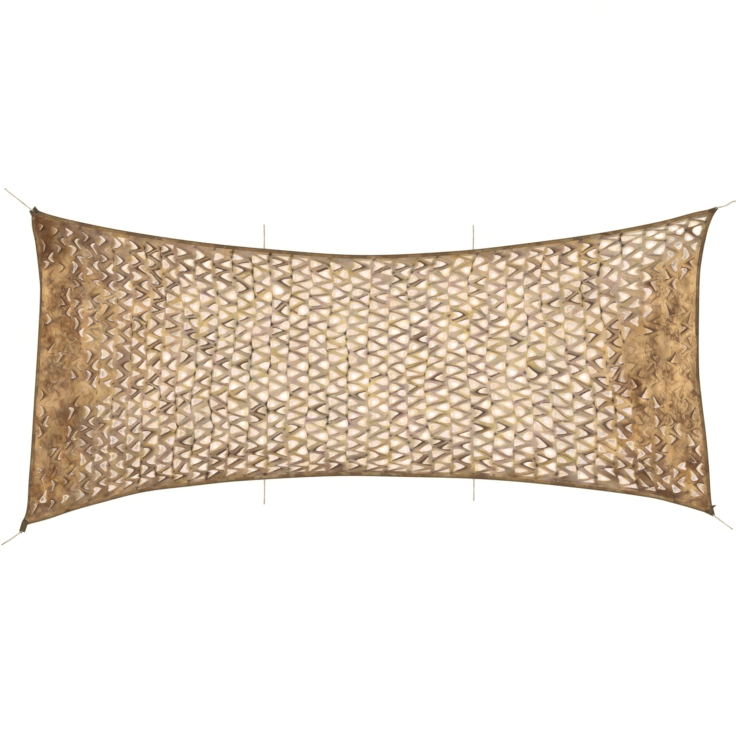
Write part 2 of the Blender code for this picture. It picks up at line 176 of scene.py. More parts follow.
# Painted shade: where the stretched bands are drawn darker. Columns: x, y, radius, how much.
SHADED = (
    (1.64, 0.73, 0.15, 0.85), (1.36, 0.54, 0.20, 0.14), (1.24, 0.34, 0.18, 0.10),
    (1.27, -0.54, 0.16, 0.65), (1.46, -0.64, 0.16, 0.80), (1.62, -0.46, 0.17, 0.60),
    (1.42, -0.48, 0.24, 0.45), (-1.62, 0.70, 0.22, 1.00), (-1.42, 0.66, 0.18, 0.55),
    (-1.30, 0.64, 0.16, 0.35), (-1.64, -0.68, 0.18, 0.75), (-1.60, -0.42, 0.14, 0.50),
    (-1.44, -0.62, 0.18, 0.42), (-1.05, -0.52, 0.20, 0.36), (-0.95, -0.42, 0.16, 0.35),
    (-0.60, -0.42, 0.26, 0.35), (-0.30, 0.04, 0.14, 0.25), (1.67, -0.66, 0.10, 0.45),
    (-1.62, 0.25, 0.30, 0.32), (-1.62, -0.28, 0.32, 0.50), (-1.42, 0.48, 0.18, 0.42),
    (-1.20, -0.50, 0.20, 0.40), (0.10, -0.42, 0.13, 0.30),
)

# Painted light: places where the cloth is drawn paler, as though more brightly lit. Columns: x, y,
# reach, how much.
LIT_PLACES = (
    (1.26, 0.12, 0.16, 0.42), (1.52, 0.52, 0.12, 0.18), (1.42, -0.40, 0.14, 0.20),
    (-1.42, -0.08, 0.18, 0.30), (-1.20, 0.12, 0.16, 0.30),
)

# The main folds, as rounded ridges. Columns: first x and y, second x and y, half
# width, height.
FOLDS = (
    (-1.60, 0.62, -1.22, 0.22, 0.17, 0.016),
    (-1.57, 0.36, -1.50, -0.12, 0.14, 0.018),
    (-1.60, -0.20, -1.36, -0.46, 0.15, 0.015),
    (-1.60, -0.62, -1.18, -0.36, 0.17, 0.016),
    (-1.30, 0.02, -1.24, -0.30, 0.14, 0.010),
    (-1.06, 0.46, -0.92, 0.16, 0.15, 0.009),
    (-1.02, -0.44, -0.86, -0.20, 0.15, 0.008),
    (1.52, 0.56, 1.46, 0.16, 0.15, 0.016),
    (1.58, 0.10, 1.50, -0.30, 0.14, 0.018),
    (1.56, -0.60, 1.20, -0.34, 0.17, 0.015),
    (1.30, 0.26, 1.22, -0.12, 0.15, 0.013),
    (1.04, 0.40, 0.94, 0.12, 0.15, 0.008),
    (1.00, -0.40, 0.88, -0.16, 0.15, 0.008),
)

SIDE_STEPS = 8  # mesh steps along each side of a gap
RINGS = (0.0, 0.36, 0.72, 1.0)  # shares of the way from a band's middle to its edge


# ---- Binding and tabs ----------------

# The folded tape's section. Columns: distance in from the outer edge, height.
TAPE_SECTION = (
    (0.0014, 0.0001), (0.0100, 0.0001), (0.0178, 0.0002), (0.0180, 0.0010),
    (0.0100, 0.0013), (0.0018, 0.0014), (0.0013, 0.0022), (0.0018, 0.0031),
    (0.0100, 0.0033), (0.0176, 0.0034), (0.0180, 0.0041), (0.0170, 0.0045),
    (0.0100, 0.0047), (0.0016, 0.0044), (0.0003, 0.0033), (0.0000, 0.0022),
    (0.0003, 0.0011),
)
TAPE_STEP = 0.008
STITCH_LINES = (0.0048, 0.0146)  # distances in from the outer edge
STITCH_STEP = 0.0082
STITCH_LENGTH = 0.0056
STITCH_RADIUS = 0.0006

# Tab outlines beyond the cut. Columns: outwards from the corner, left of its axis.
TAB_OUTLINE = {
    "top_left": (
        (-0.0400, 0.0243), (-0.0299, 0.0233), (-0.0069, 0.0194), (-0.0100, 0.0110),
        (-0.0100, 0.0010), (-0.0050, -0.0110), (-0.0034, -0.0184), (-0.0267, -0.0199),
        (-0.0400, -0.0243),
    ),
    "top_right": (
        (-0.0400, 0.0214), (-0.0120, 0.0110), (0.0065, 0.0050), (0.0030, -0.0085),
        (-0.0120, -0.0115), (-0.0400, -0.0214),
    ),
    "bottom_left": (
        (-0.0400, 0.0222), (-0.0254, 0.0155), (-0.0016, 0.0288), (0.0115, 0.0340),
        (0.0145, 0.0243), (0.0277, 0.0253), (0.0252, 0.0099), (-0.0143, -0.0135),
        (-0.0400, -0.0222),
    ),
    "bottom_right": (
        (-0.0400, 0.0255), (-0.0276, 0.0441), (-0.0270, 0.0215), (0.0056, 0.0055),
        (0.0056, -0.0055), (-0.0400, -0.0255),
    ),
}
TAB_SEAT = {"top_left": 3, "top_right": 2, "bottom_left": 5, "bottom_right": 3}
TAB_HEIGHT = 0.0062
TAB_RIM = 0.0012  # height of the rim's upper edge
TAB_UNDER = (0.0008, 0.0002)  # heights of the underside, at the rim and inside it
TAB_CLEAR = 0.0013  # from the rim to the nearest inner point
TAB_ROUNDING = 0.0045
TAB_SPACING = 0.0022  # between the mesh's points
OUTLINE_STEP = 0.0006


# ---- Ties ----------------

TIE_DIAMETER = 0.0055
TIE_INSIDE = 0.010  # how far a tie runs on inside what holds it
TIE_LAY = 0.019  # one turn of its strands
TIE_STEP = 0.0012  # along its mesh
TIE_CLEAR = 0.0003  # between its root and what holds it
END_FIBRES = 22  # at its frayed end
END_REACH = (0.004, 0.009)  # how far they reach past its end
END_RADII = (0.00042, 0.0002)  # at a fibre's root and tip

CORNER_TIE = {
    "top_left": ((-1.7205, 0.8369), (-1.7833, 0.8854)),
    "top_right": ((1.7590, 0.8085), (1.7930, 0.8275), (1.8266, 0.8302)),
    "bottom_left": ((-1.7557, -0.8307), (-1.7985, -0.8578)),
    "bottom_right": ((1.7464, -0.7516), (1.7877, -0.7820)),
}
# Columns: name, edge, x at the edge, middle x and y, free end x and y.
EDGE_TIE = (
    ("tie_top_left", "top", -0.5130, -0.5119, 0.6502, -0.5129, 0.7068),
    ("tie_top_right", "top", 0.5162, 0.5168, 0.6477, 0.5164, 0.7043),
    ("tie_bottom_left", "bottom", -0.5115, -0.5108, -0.6000, -0.5119, -0.6561),
    ("tie_bottom_right", "bottom", 0.5180, 0.5190, -0.5900, 0.5183, -0.6364),
)


# ---- Helpers ----------------


def smooth_rows(rows, column, at):
    """A table's column at values of its first column, on a smooth curve."""
    table = np.array(rows, float)
    xs, ys = table[:, 0], table[:, column]
    last = len(xs) - 1
    index = np.arange(last + 1)
    low, high = np.maximum(index - 1, 0), np.minimum(index + 1, last)
    slope = (ys[high] - ys[low]) / (xs[high] - xs[low])
    at = np.clip(np.asarray(at, float), xs[0], xs[-1])
    k = np.clip(np.searchsorted(xs, at, side="right") - 1, 0, last - 1)
    width = xs[k + 1] - xs[k]
    t = (at - xs[k]) / width
    return (
        (1 + 2 * t) * (1 - t) ** 2 * ys[k]
        + t * (1 - t) ** 2 * slope[k] * width
        + t * t * (3 - 2 * t) * ys[k + 1]
        + t * t * (t - 1) * slope[k + 1] * width
    )


def unevenness(x, y, size, seed):
    """A smooth random field from -1 to 1 with features of about the given size."""
    wide, tall = FIELD_KNOTS
    grid = np.random.RandomState(seed).uniform(-1, 1, FIELD_KNOTS)
    gx = np.asarray(x, float) / size + FIELD_SHIFT[0]
    gy = np.asarray(y, float) / size + FIELD_SHIFT[1]
    ix, iy = np.floor(gx).astype(int), np.floor(gy).astype(int)
    fx, fy = eased(gx - ix), eased(gy - iy)

    def knot(a, b):
        return grid[a % wide, b % tall]

    low = knot(ix, iy) * (1 - fx) + knot(ix + 1, iy) * fx
    high = knot(ix, iy + 1) * (1 - fx) + knot(ix + 1, iy + 1) * fx
    return low * (1 - fy) + high * fy


def summed_unevenness(x, y, rows):
    """A sum of fields. Columns: share, feature size, squeeze across, seed."""
    return sum(much * unevenness(x, y * squeeze, size, seed) for much, size, squeeze, seed in rows)


def eased(share):
    """A share from 0 to 1 with a soft start and end."""
    return share * share * (3 - 2 * share)


def rise(value, start, over):
    """0 up to start, then straight up to 1 over the given reach."""
    return np.clip((value - start) / over, 0, 1)


def bell(value, middle, width):
    """1 at the middle, fading out on both sides."""
    return np.exp(-(((value - middle) / width) ** 2))


def directions(points):
    """Unit directions along a line of points."""
    runs = np.gradient(points, axis=0)
    return runs / np.linalg.norm(runs, axis=1)[:, None]


def lengths_along(line):
    """How far each point lies along a line of points."""
    return np.concatenate([[0], np.cumsum(np.linalg.norm(np.diff(line, axis=0), axis=1))])


def edge_points(edge, shares):
    """Plan points at shares of the way along one of the net's bowed edges."""
    first, second, rows, turn = EDGES[edge]
    a, b = np.array(CORNER[first]), np.array(CORNER[second])
    chord = (b - a) / np.linalg.norm(b - a)
    inwards = np.array((-chord[1], chord[0])) * turn
    shares = np.asarray(shares, float)[..., None]
    bow = smooth_rows(rows, 1, shares[..., 0])[..., None]
    return a * (1 - shares) + b * shares + inwards * bow


def net_points(u, v):
    """Plan points at shares u along and v across the net."""
    u, v = np.asarray(u, float), np.asarray(v, float)
    cu, cv = u[..., None], v[..., None]
    rails = edge_points("bottom", u) * (1 - cv) + edge_points("top", u) * cv
    posts = edge_points("left", 1 - v) * (1 - cu) + edge_points("right", 1 - v) * cu
    corner = {name: np.array(p) for name, p in CORNER.items()}
    low = corner["bottom_left"] * (1 - cu) + corner["bottom_right"] * cu
    high = corner["top_left"] * (1 - cu) + corner["top_right"] * cu
    return rails + posts - low * (1 - cv) - high * cv


def corner_axes(corner):
    """The outward direction at a corner, and the direction to the left of it."""
    row, column = corner.split("_")
    near = 0.02
    beside = edge_points(row, near if column == "left" else 1 - near)
    below = edge_points(column, 2 * near if row == "top" else 1 - 2 * near)
    here = Vector(CORNER[corner])
    ways = [(Vector(p) - here).normalized() for p in (beside, below)]
    outward = -(ways[0] + ways[1]).normalized()
    return outward, Vector((-outward.y, outward.x))


def mesh_object(name, points, faces, look, smooth=True):
    data = bpy.data.meshes.new(name)
    data.from_pydata([tuple(p) for p in points], [], faces)
    data.validate()
    data.update()
    if smooth:
        data.shade_smooth()
    data.materials.append(look)
    made = bpy.data.objects.new(name, data)
    bpy.context.scene.collection.objects.link(made)
    return made


def point_values(made, name, values):
    """Gives a mesh's points a value that its look reads by name."""
    kept = made.data.attributes.new(name, "FLOAT", "POINT")
    kept.data.foreach_set("value", np.asarray(values, np.float32))


def dress(piece, stands_for=None):
    """Puts a piece on the net's body, and hides the frame's node that it stands for."""
    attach(piece, "root")
    if stands_for:
        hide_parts(stands_for)
    return piece


# ---- Looks ----------------


class Nodes:
    """Adds and links a material's nodes."""

    def __init__(self, name):
        self.material = bpy.data.materials.new(name)
        self.material.use_nodes = True
        self.tree = self.material.node_tree
        self.shader = self.tree.nodes["Principled BSDF"]

    def feed(self, socket, value):
        """Links a socket to another one, or sets it to a plain value."""
        if isinstance(value, bpy.types.NodeSocket):
            self.tree.links.new(value, socket)
        else:
            socket.default_value = value

    def add(self, kind, settings=None, **inputs):
        node = self.tree.nodes.new(kind)
        for key, value in (settings or {}).items():
            setattr(node, key, value)
        for name, value in inputs.items():
            self.feed(node.inputs[name], value)
        return node

    def place(self, scale=(1, 1, 1), turn=0.0, shift=(0, 0, 0)):
        """Object coordinates, scaled and turned about +Z."""
        where = self.add("ShaderNodeTexCoord").outputs["Object"]
        turned = {"Rotation": (0, 0, turn), "Location": shift}
        made = self.add("ShaderNodeMapping", Vector=where, Scale=scale, **turned)
        return made.outputs["Vector"]

    def noise(self, where, scale, detail=2.0, roughness=0.5, distortion=0.0):
        grain = {"Detail": detail, "Roughness": roughness, "Distortion": distortion}
        made = self.add("ShaderNodeTexNoise", Vector=where, Scale=scale, **grain)
        return made.outputs["Fac"]

    def steps(self, value, low, high, times=None):
        """A ramp between two (position, value) stops, multiplied by a value if given."""
        node = self.add("ShaderNodeValToRGB", Fac=value)
        for k, (position, level) in enumerate((low, high)):
            stop = node.color_ramp.elements[k]
            stop.position = position
            stop.color = (level, level, level, 1)
        made = node.outputs["Color"]
        return made if times is None else self.maths("MULTIPLY", made, times)

    def mix(self, share, first, second, blend="MIX"):
        node = self.add("ShaderNodeMix", {"data_type": "RGBA", "blend_type": blend})
        for key, value in ((0, share), (6, first), (7, second)):
            self.feed(node.inputs[key], (*value, 1.0) if isinstance(value, tuple) else value)
        return node.outputs[2]

    def maths(self, operation, *values):
        node = self.add("ShaderNodeMath", {"operation": operation})
        for socket, value in zip(node.inputs, values):
            self.feed(socket, value)
        return node.outputs[0]

    def attribute(self, name):
        return self.add("ShaderNodeAttribute", {"attribute_name": name}).outputs["Fac"]

    def finish(self, colour, roughness, height=None, relief=0.0004, sheen=0.0):
        sockets = self.shader.inputs
        self.feed(sockets["Base Color"], colour)
        self.feed(sockets["Roughness"], roughness)
        sockets["Sheen Weight"].default_value = sheen
        sockets["Sheen Roughness"].default_value = 0.6
        sockets["Specular IOR Level"].default_value = 0.25
        if height is not None:
            bump = self.add("ShaderNodeBump", Height=height, Distance=relief, Strength=1.0)
            self.feed(sockets["Normal"], bump.outputs["Normal"])
        return self.material


def linear(red, green, blue):
    """A colour from its 0 to 255 display values."""
    return tuple(
        c / 12.92 if c <= 0.04045 else ((c + 0.055) / 1.055) ** 2.4
        for c in (red / 255, green / 255, blue / 255)
    )


TAN = linear(210, 168, 124)
# The print's blotches, one over another. Columns: colour, blotches to the metre, how
# narrow they are along and across, the least noise value that is painted, turn.
BLOTCHES = (
    (linear(238, 208, 168), 7.0, (1.0, 1.5), 0.56, 0.2),  # sand
    (linear(210, 166, 110), 6.0, (1.0, 1.3), 0.53, 1.1),  # ochre
    (linear(170, 126, 86), 7.0, (1.0, 1.6), 0.55, 2.3),  # brown
    (linear(150, 108, 82), 6.0, (1.2, 1.0), 0.59, 0.7),  # purple brown
    (linear(152, 124, 98), 10.0, (1.0, 1.4), 0.625, 1.7),  # grey brown
    (linear(114, 78, 48), 12.0, (0.8, 1.7), 0.65, 2.9),  # dark brown
    (linear(182, 162, 104), 10.0, (1.0, 1.2), 0.65, 0.1),  # olive
    (linear(208, 154, 104), 17.0, (1.0, 1.2), 0.66, 1.9),  # orange
    (linear(222, 194, 140), 15.0, (1.2, 1.0), 0.64, 0.9),  # straw
)
SHINE_THROUGH = 0.28  # share of the light that the cloth lets through
# Wave scales. A scale of 1 gives about 3 threads to the metre.
CLOTH_WEAVE, TAPE_WEAVE = 98.678975, 111.411746


def camouflage(nodes, turn=0.4, shade=1.0):
    """The print: soft blotches of nine flat colours, one over another."""
    colour = TAN
    for k, (paint, scale, stretch, least, way) in enumerate(BLOTCHES):
        shift = (3.1 * k, 1.7 * k, 0.0)
        spot = nodes.place(scale=(*stretch, 1.0), turn=turn + way, shift=shift)
        value = nodes.noise(spot, scale, 3.0, 0.5, 0.4)
        mask = nodes.steps(value, (least - 0.022, 0.0), (least + 0.022, 1.0))
        colour = nodes.mix(mask, colour, paint)
    where = nodes.place(turn=turn)
    for grain, low, high in (
        ((6.0, 2.0, 0.5), (0.30, 0.88 * shade), (0.70, 1.06 * shade)),
        ((19.0, 3.0, 0.55), (0.32, 0.72), (0.62, 1.08)),
        ((45.0, 4.0, 0.6), (0.25, 0.88), (0.75, 1.08)),
    ):
        tone = nodes.steps(nodes.noise(where, *grain), low, high)
        colour = nodes.mix(1.0, colour, tone, "MULTIPLY")
    return colour


def weave(nodes, scale):
    """A plain weave's fine height."""
    where = nodes.place()
    warp, weft = (
        nodes.add(
            "ShaderNodeTexWave",
            {"wave_type": "BANDS", "bands_direction": way},
            Vector=where,
            Scale=scale,
        ).outputs["Fac"]
        for way in "XY"
    )
    return nodes.maths("MULTIPLY", warp, weft)


def tinted(nodes, colour, stretch):
    """The print, golden where slack and washed out where stretched, with drifts of hue."""
    golden = nodes.mix(1.0, colour, (1.0, 0.92, 0.855), "MULTIPLY")
    golden = nodes.mix(stretch, golden, colour)
    washed = nodes.steps(stretch, (0.15, 0.0), (0.88, 0.63))
    colour = nodes.mix(washed, golden, linear(218, 211, 191))
    small = nodes.noise(nodes.place(turn=0.8, shift=(5.0, 2.0, 0.0)), 21.0, 4.0, 0.68)
    broad = nodes.noise(nodes.place(turn=-0.4, shift=(1.0, 7.0, 0.0)), 7.0, 2.0, 0.5)
    cool = nodes.maths("MULTIPLY_ADD", stretch, 0.7, 0.3)
    for share, tint in (
        (nodes.steps(small, (0.38, 1.0), (0.50, 0.0), times=cool), (0.96, 0.89, 1.0)),
        (nodes.steps(small, (0.50, 0.0), (0.62, 1.0)), (1.02, 0.97, 0.76)),
        (nodes.steps(broad, (0.36, 0.9), (0.48, 0.0), times=cool), (0.96, 0.88, 0.98)),
        (nodes.steps(broad, (0.52, 0.0), (0.62, 1.0)), (1.03, 0.965, 0.73)),
    ):
        colour = nodes.mix(share, colour, tint, "MULTIPLY")
    return colour


def cloth_look():
    """The net's cloth. Its attributes say where it is stretched, and where painted shade and
    painted light fall on it.
    """
    nodes = Nodes("net_cloth")
    marks = ("stretch", "crumpled_ends", "relief", "gap_edge", "lit_places", "shaded")
    stretch, crumpled_ends, raised, edge, lit_places, shaded = map(nodes.attribute, marks)
    slack = nodes.maths("MULTIPLY_ADD", stretch, -1.10, 1.0)
    patch = nodes.place(scale=(1.0, 0.8, 1.0), turn=0.5, shift=(3.0, 1.0, 0.0))
    patch = nodes.noise(patch, 12.0, 4.0, 0.62, 1.0)
    crease_strokes = nodes.noise(nodes.place(scale=(1.0, 0.46, 1.0), turn=0.05), 58.0, 3.0, 0.55, 1.8)
    hollow_shade = nodes.maths("MULTIPLY", raised, -1.0)
    curled_lip_shade = nodes.maths("MULTIPLY", edge, -1.0)
    wider = nodes.maths("MULTIPLY", edge, nodes.maths("MULTIPLY_ADD", stretch, -0.22, 1.22))
    most = nodes.maths("MULTIPLY_ADD", stretch, 0.05, 0.85)
    pale = nodes.mix(stretch, linear(250, 220, 184), linear(252, 235, 214))
    colour = tinted(nodes, camouflage(nodes), stretch)
    for share, paint in (
        (nodes.maths("MULTIPLY_ADD", crumpled_ends, 1.1, -0.47), linear(233, 197, 145)),
        # broad patches where the cloth is slack, and painted shade and highlight on fine crumples
        # at both ends
        (nodes.steps(patch, (0.38, 0.82), (0.49, 0.0), times=slack), linear(118, 80, 58)),
        (nodes.steps(patch, (0.52, 0.0), (0.62, 0.72), times=slack), linear(236, 202, 148)),
        (nodes.steps(crease_strokes, (0.34, 0.62), (0.47, 0.0), times=crumpled_ends), linear(112, 70, 38)),
        (nodes.steps(crease_strokes, (0.51, 0.0), (0.64, 0.80), times=crumpled_ends), linear(240, 209, 160)),
        # painted shade in hollows and painted highlight on crests, the lit places' painted light,
        # and the shaded places' painted shade
        (nodes.steps(hollow_shade, (0.05, 0.0), (0.60, 0.78)), linear(112, 70, 35)),
        (nodes.steps(raised, (0.08, 0.0), (0.60, 0.62)), linear(238, 200, 146)),
        (lit_places, linear(234, 198, 146)),
        (nodes.maths("MULTIPLY", shaded, 0.8), linear(88, 51, 20)),
        # pale cut edges (fray and painted light), painted shade on lips and folds, dark seams,
        # knots
        (nodes.steps(wider, (0.45, 0.0), (0.95, 1.0), times=most), pale),
        (nodes.steps(curled_lip_shade, (0.10, 0.0), (0.58, 0.90)), linear(88, 54, 31)),
        (nodes.steps(nodes.attribute("fold_shade"), (0.08, 0.0), (0.78, 0.68)), linear(109, 78, 57)),
        (nodes.steps(nodes.attribute("seam"), (0.14, 0.0), (0.72, 0.80)), linear(74, 56, 42)),
        (nodes.steps(nodes.attribute("knot"), (0.15, 0.0), (0.8, 0.85)), linear(66, 50, 38)),
    ):
        colour = nodes.mix(share, colour, paint)
    crumple = nodes.noise(nodes.place(), 60.0, 3.0, 0.55)
    crumple = nodes.maths("ADD", crumple, nodes.maths("MULTIPLY", crease_strokes, crumpled_ends))
    height = nodes.maths("ADD", nodes.maths("MULTIPLY", weave(nodes, CLOTH_WEAVE), 0.12), crumple)
    roughness = nodes.steps(nodes.noise(nodes.place(), 30.0), (0.3, 0.72), (0.7, 0.9))
    made = nodes.finish(colour, roughness, height, 0.0022, 0.15)
    through = nodes.add("ShaderNodeBsdfTranslucent", Color=colour)
    both = nodes.add("ShaderNodeMixShader")
    layers = (SHINE_THROUGH, nodes.shader.outputs[0], through.outputs[0])
    for socket, value in zip(both.inputs, layers):
        nodes.feed(socket, value)
    nodes.feed(nodes.tree.nodes["Material Output"].inputs["Surface"], both.outputs[0])
    return made


def fray_look():
    nodes = Nodes("loose_threads")
    value = nodes.noise(nodes.place(), 24.0, 3.0, 0.65)
    tint = nodes.steps(value, (0.38, 0.0), (0.62, 1.0))
    colour = nodes.mix(tint, linear(248, 230, 228), linear(240, 216, 176))
    return nodes.finish(colour, 0.85)


def tape_look(name, shade):
    nodes = Nodes(name)
    colour = camouflage(nodes, 1.3, shade)
    colour = nodes.mix(0.35, colour, linear(104, 88, 58))
    outer = nodes.maths("MULTIPLY", nodes.attribute("outer"), 0.72)
    colour = nodes.mix(outer, colour, linear(76, 60, 38))
    height = weave(nodes, TAPE_WEAVE)
    return nodes.finish(colour, 0.8, height, 0.0003, 0.1)


def tab_look():
    nodes = Nodes("tab_cloth")
    where = nodes.place()
    blotch = nodes.steps(nodes.noise(where, 40.0, 4.0, 0.6, 0.5), (0.45, 0.0), (0.55, 1.0))
    colour = nodes.mix(blotch, linear(66, 58, 42), linear(92, 74, 52))
    light = nodes.steps(nodes.noise(where, 75.0, 3.0), (0.62, 0.0), (0.70, 0.6))
    colour = nodes.mix(light, colour, linear(140, 122, 90))
    height = nodes.maths("ADD", weave(nodes, TAPE_WEAVE), nodes.noise(where, 160.0, 3.0, 0.6))
    return nodes.finish(colour, 0.82, height, 0.0006, 0.1)


def cord_look():
    nodes = Nodes("tie_fibre")
    where = nodes.place()
    fibre = nodes.noise(where, 900.0, 3.0, 0.7)
    soiled = nodes.steps(nodes.noise(where, 35.0, 2.0), (0.35, 0.0), (0.7, 1.0))
    colour = nodes.mix(soiled, linear(190, 192, 192), linear(154, 153, 148))
    tone = nodes.steps(fibre, (0.3, 0.82), (0.7, 1.04))
    colour = nodes.mix(1.0, colour, tone, "MULTIPLY")
    return nodes.finish(colour, 0.75, fibre, 0.0003, 0.1)


def thread_look(name, shade):
    nodes = Nodes(name)
    value = nodes.noise(nodes.place(), 420.0, 2.0)
    share = nodes.steps(value, (0.3, 0.0), (0.7, 1.0))
    darker = tuple(c * 0.75 for c in shade)
    lighter = tuple(min(1.0, c * 1.25) for c in shade)
    return nodes.finish(nodes.mix(share, darker, lighter), 0.7, value, 0.0002)


# ---- Cloth shape ----------------


def openness(x, y):
    """How far open the slits are at plan points: 0 shut, 1 fully open."""
    columns = range(1, len(OPENNESS[0]))
    levels = np.array([smooth_rows(OPENNESS, column, x) for column in columns])
    bands = len(levels) - 1
    top, low = edge_y("top", x), edge_y("bottom", x)
    height = np.clip((y - low) / (top - low), 0, 1) * bands
    k = np.clip(np.floor(height).astype(int), 0, bands - 1)
    share = eased(height - k)
    across = np.arange(levels.shape[1])
    return levels[k, across] * (1 - share) + levels[k + 1, across] * share


def edge_y(edge, x):
    """The y of a long edge at each x."""
    line = edge_points(edge, np.linspace(0, 1, 201))
    return np.interp(x, line[:, 0], line[:, 1])


def fold_heights(spots):
    """The height of the highest main fold over each plan point."""
    best = np.zeros(len(spots))
    for x1, y1, x2, y2, half_width, height in FOLDS:
        start, run = np.array((x1, y1)), np.array((x2 - x1, y2 - y1))
        share = np.clip((spots - start) @ run / (run @ run), 0, 1)
        off = np.linalg.norm(spots - start - share[:, None] * run, axis=1) / half_width
        lift = height * (0.5 + 0.5 * np.cos(np.pi * np.minimum(off, 1)))
        best = np.maximum(best, lift)
    return best


def lattice_share(s, t):
    """Shares along and across the net at seam s and row t, with the lattice's wander."""
    s, t = np.asarray(s, float), np.asarray(t, float)
    loose_s = rise(np.minimum(s, COLUMNS - s), 0, HELD_CELLS)
    loose_t = rise(np.minimum(t, ROWS - t), 0, HELD_CELLS)
    zigzag = ZIGZAG * np.cos(2 * np.pi * t) * loose_t
    lean = bell(s, 30.5, 4) * rise(t / ROWS, 0.45, 1) * 1.7
    moved_s = s + loose_s * (summed_unevenness(s, t, WANDER_ALONG) + zigzag - lean)
    moved_t = (t + loose_t * summed_unevenness(s, t, WANDER_ACROSS)) / ROWS
    for edge, rows in GATHERS.items():
        off = moved_t if edge == "bottom" else 1 - moved_t
        for middle, reach, much, depth in rows:
            off = off * (1 - much * bell(s, middle, reach) * np.exp(-off / depth))
        moved_t = off if edge == "bottom" else 1 - off
    return smooth_rows(SEAM_SHARE, 1, moved_s), moved_t


def lattice_plan(s, t):
    """Plan points of the lattice at seam s and row t."""
    u, v = lattice_share(s, t)
    inset_u, inset_v = LATTICE_INSET
    return net_points(inset_u + (1 - 2 * inset_u) * u, inset_v + (1 - 2 * inset_v) * v)


def seam_strength(s, t, x):
    """How dark a seam looks: uneven dashes between the bands that cross it."""
    show = smooth_rows(SEAM_SHOW, 1, x)
    seam = np.round(s)
    run = np.clip(0.60 + 1.2 * unevenness(seam * 3.7, t, 1.4, 41), 0, 1.3)
    dash = 0.30 + 0.70 * np.cos(2 * np.pi * t) ** 2
    chance = np.clip(0.75 + 1.1 * unevenness(seam * 5.3, np.round(t * 2), 1.0, 43), 0, 1.3)
    return show * run * dash * chance


def rest_level(x, y):
    """The cloth's height away from its gaps, and its slackness there."""
    slack = 1 - np.clip(openness(x, y), 0, 1)
    level = FLAT_LEVEL + 0.0010 * unevenness(x, y, 0.16, 21)
    level = level + fold_heights(np.column_stack([x, y]))
    level = level + slack * RUMPLE_HEIGHT * summed_unevenness(x, y, RUMPLES)
    return level, slack


def settled(level, fade):
    """Heights with the tallest eased, held off the floor and led down into the tape."""
    above = np.maximum(level - EASE_FROM, 0)
    tall = EASE_FROM + EASE_OVER * (1 - np.exp(-above / EASE_OVER))
    level = np.where(level > EASE_FROM, tall, level)
    return np.maximum(SLOT_LEVEL * (1 - fade) + level * fade, LEAST_LEVEL)


def rim_fade(s, t):
    """How free a point is of the tape: least at the lattice's edge, 1 further in."""
    inner = np.minimum.reduce([s * 1.3, (COLUMNS - s) * 1.3, t, ROWS - t])
    return eased(rise(inner, -0.35, 0.9))


class Cloth:
    """Collects the cloth's points by their place in the lattice."""

    def __init__(self):
        self.rows, self.faces, self.known = [], [], {}

    def point(self, s, t, lift=0.0, edge=0.0):
        self.rows.append((s, t, lift, edge))
        return len(self.rows) - 1

    def shared(self, s, t):
        key = lattice_key(s, t)
        if key not in self.known:
            self.known[key] = self.point(s, t)
        return self.known[key]


def lattice_key(s, t):
    """Whole numbers that name a place in the lattice."""
    return round(s * 4 * SIDE_STEPS), round(t * 4 * SIDE_STEPS)


def gap_shape(open_share, lean, quiet, loose, rng):
    """A cell's rim and its gap, from its seam, as (along, across) with the lifts.

    Both run up the seam, then along the upper side to the far tip and back along the
    lower side. The tongue left by the slit fills the gap's near part where it is slack.
    Last comes how far each point's edge shows pale, as fray and painted light where it turns up
    (up to 1), or curls under in painted shade (to -1).
    """

    def sway():
        return rng.uniform(-1, 1)

    n = SIDE_STEPS
    up = np.arange(n) / n
    rim = ((0 * up, up - 0.5), (up, 0.5 * (1 - up)), (1 - up, -0.5 * up))
    rim = np.concatenate([np.stack(side, 1) for side in rim])
    opened = min(1.0, max(0.0, open_share))
    slack = 1 - opened
    thin = min(0.4, max(0.0, open_share - 0.95))  # how much thinner the bands are drawn
    # the gap's half height, its near and far ends, and its slant
    half = 0.27 + 0.19 * opened - 0.184 * opened**2 + 0.25 * thin
    half = min(half * (1 + (0.13 + 0.30 * loose) * sway()), 0.40)
    near = 0.065 + 0.03 * sway() + 0.16 * thin + 0.10 * loose * rng.uniform()
    far = 0.56 + 0.07 * opened - 0.10 * thin
    far = far * (1 + 0.08 * sway() - 0.30 * loose * rng.uniform())
    skew = lean + (0.07 + 0.20 * loose) * sway()
    middle = 0.035 * sway() - 0.3 * skew
    # how full its sides are, and how wide it is at its root
    power = 0.68 + 0.04 * opened - 0.95 * thin + 0.05 * sway()
    base = 0.64 + 0.12 * sway() - 0.5 * thin

    def notch(q):
        reach = (1 - q) ** power * (1 - (1 - base) * (1 - q) ** 10)
        return np.stack([near + (far - near) * q, half * reach], 1)

    p = 1 - np.abs(2 * up - 1)
    root = np.stack([np.full(n, near), half * base * (1 - p)], 1)
    shut = 1 - (opened**1.35 if open_share > 0 else open_share)
    tongue = root + shut * (notch(p) - root)
    tongue[:, 1] *= np.sign(2 * up - 1)
    gap = np.concatenate([tongue, notch(up), notch(1 - up) * (1, -1)])
    # painted shade on the far sides' lips, stronger where the cloth is slack
    far_side = 1 - 2.9 * slack - np.repeat(rng.uniform(0, (0.8, 1.45)), n)
    turned = np.concatenate([np.ones(n), np.maximum(far_side, -1)]) * quiet
    turned[[n, 2 * n]] = (1 + turned[n + 1]) / 2, turned[n + 1]
    reach = np.clip((gap[:, 0] - near) / (far - near), 0, 1)
    gap[:, 1] += middle + skew * reach
    bow = np.sin(np.pi * up) ** 0.8
    tip = np.sin(0.5 * np.pi * p) * (0.0095 * slack - 0.0012 * opened)
    tip = tip * (1 + 0.4 * sway())
    high = 0.0040 * (1 + 0.4 * sway()) * (1 - 0.6 * slack)
    low = -0.0034 * (1 + 0.35 * sway()) * (1 - 0.2 * slack)
    low_too = low * slack + high * (1 - slack)
    lifts = np.concatenate([tip, low_too * bow, low * bow]) * quiet
    return rim, gap, lifts, turned


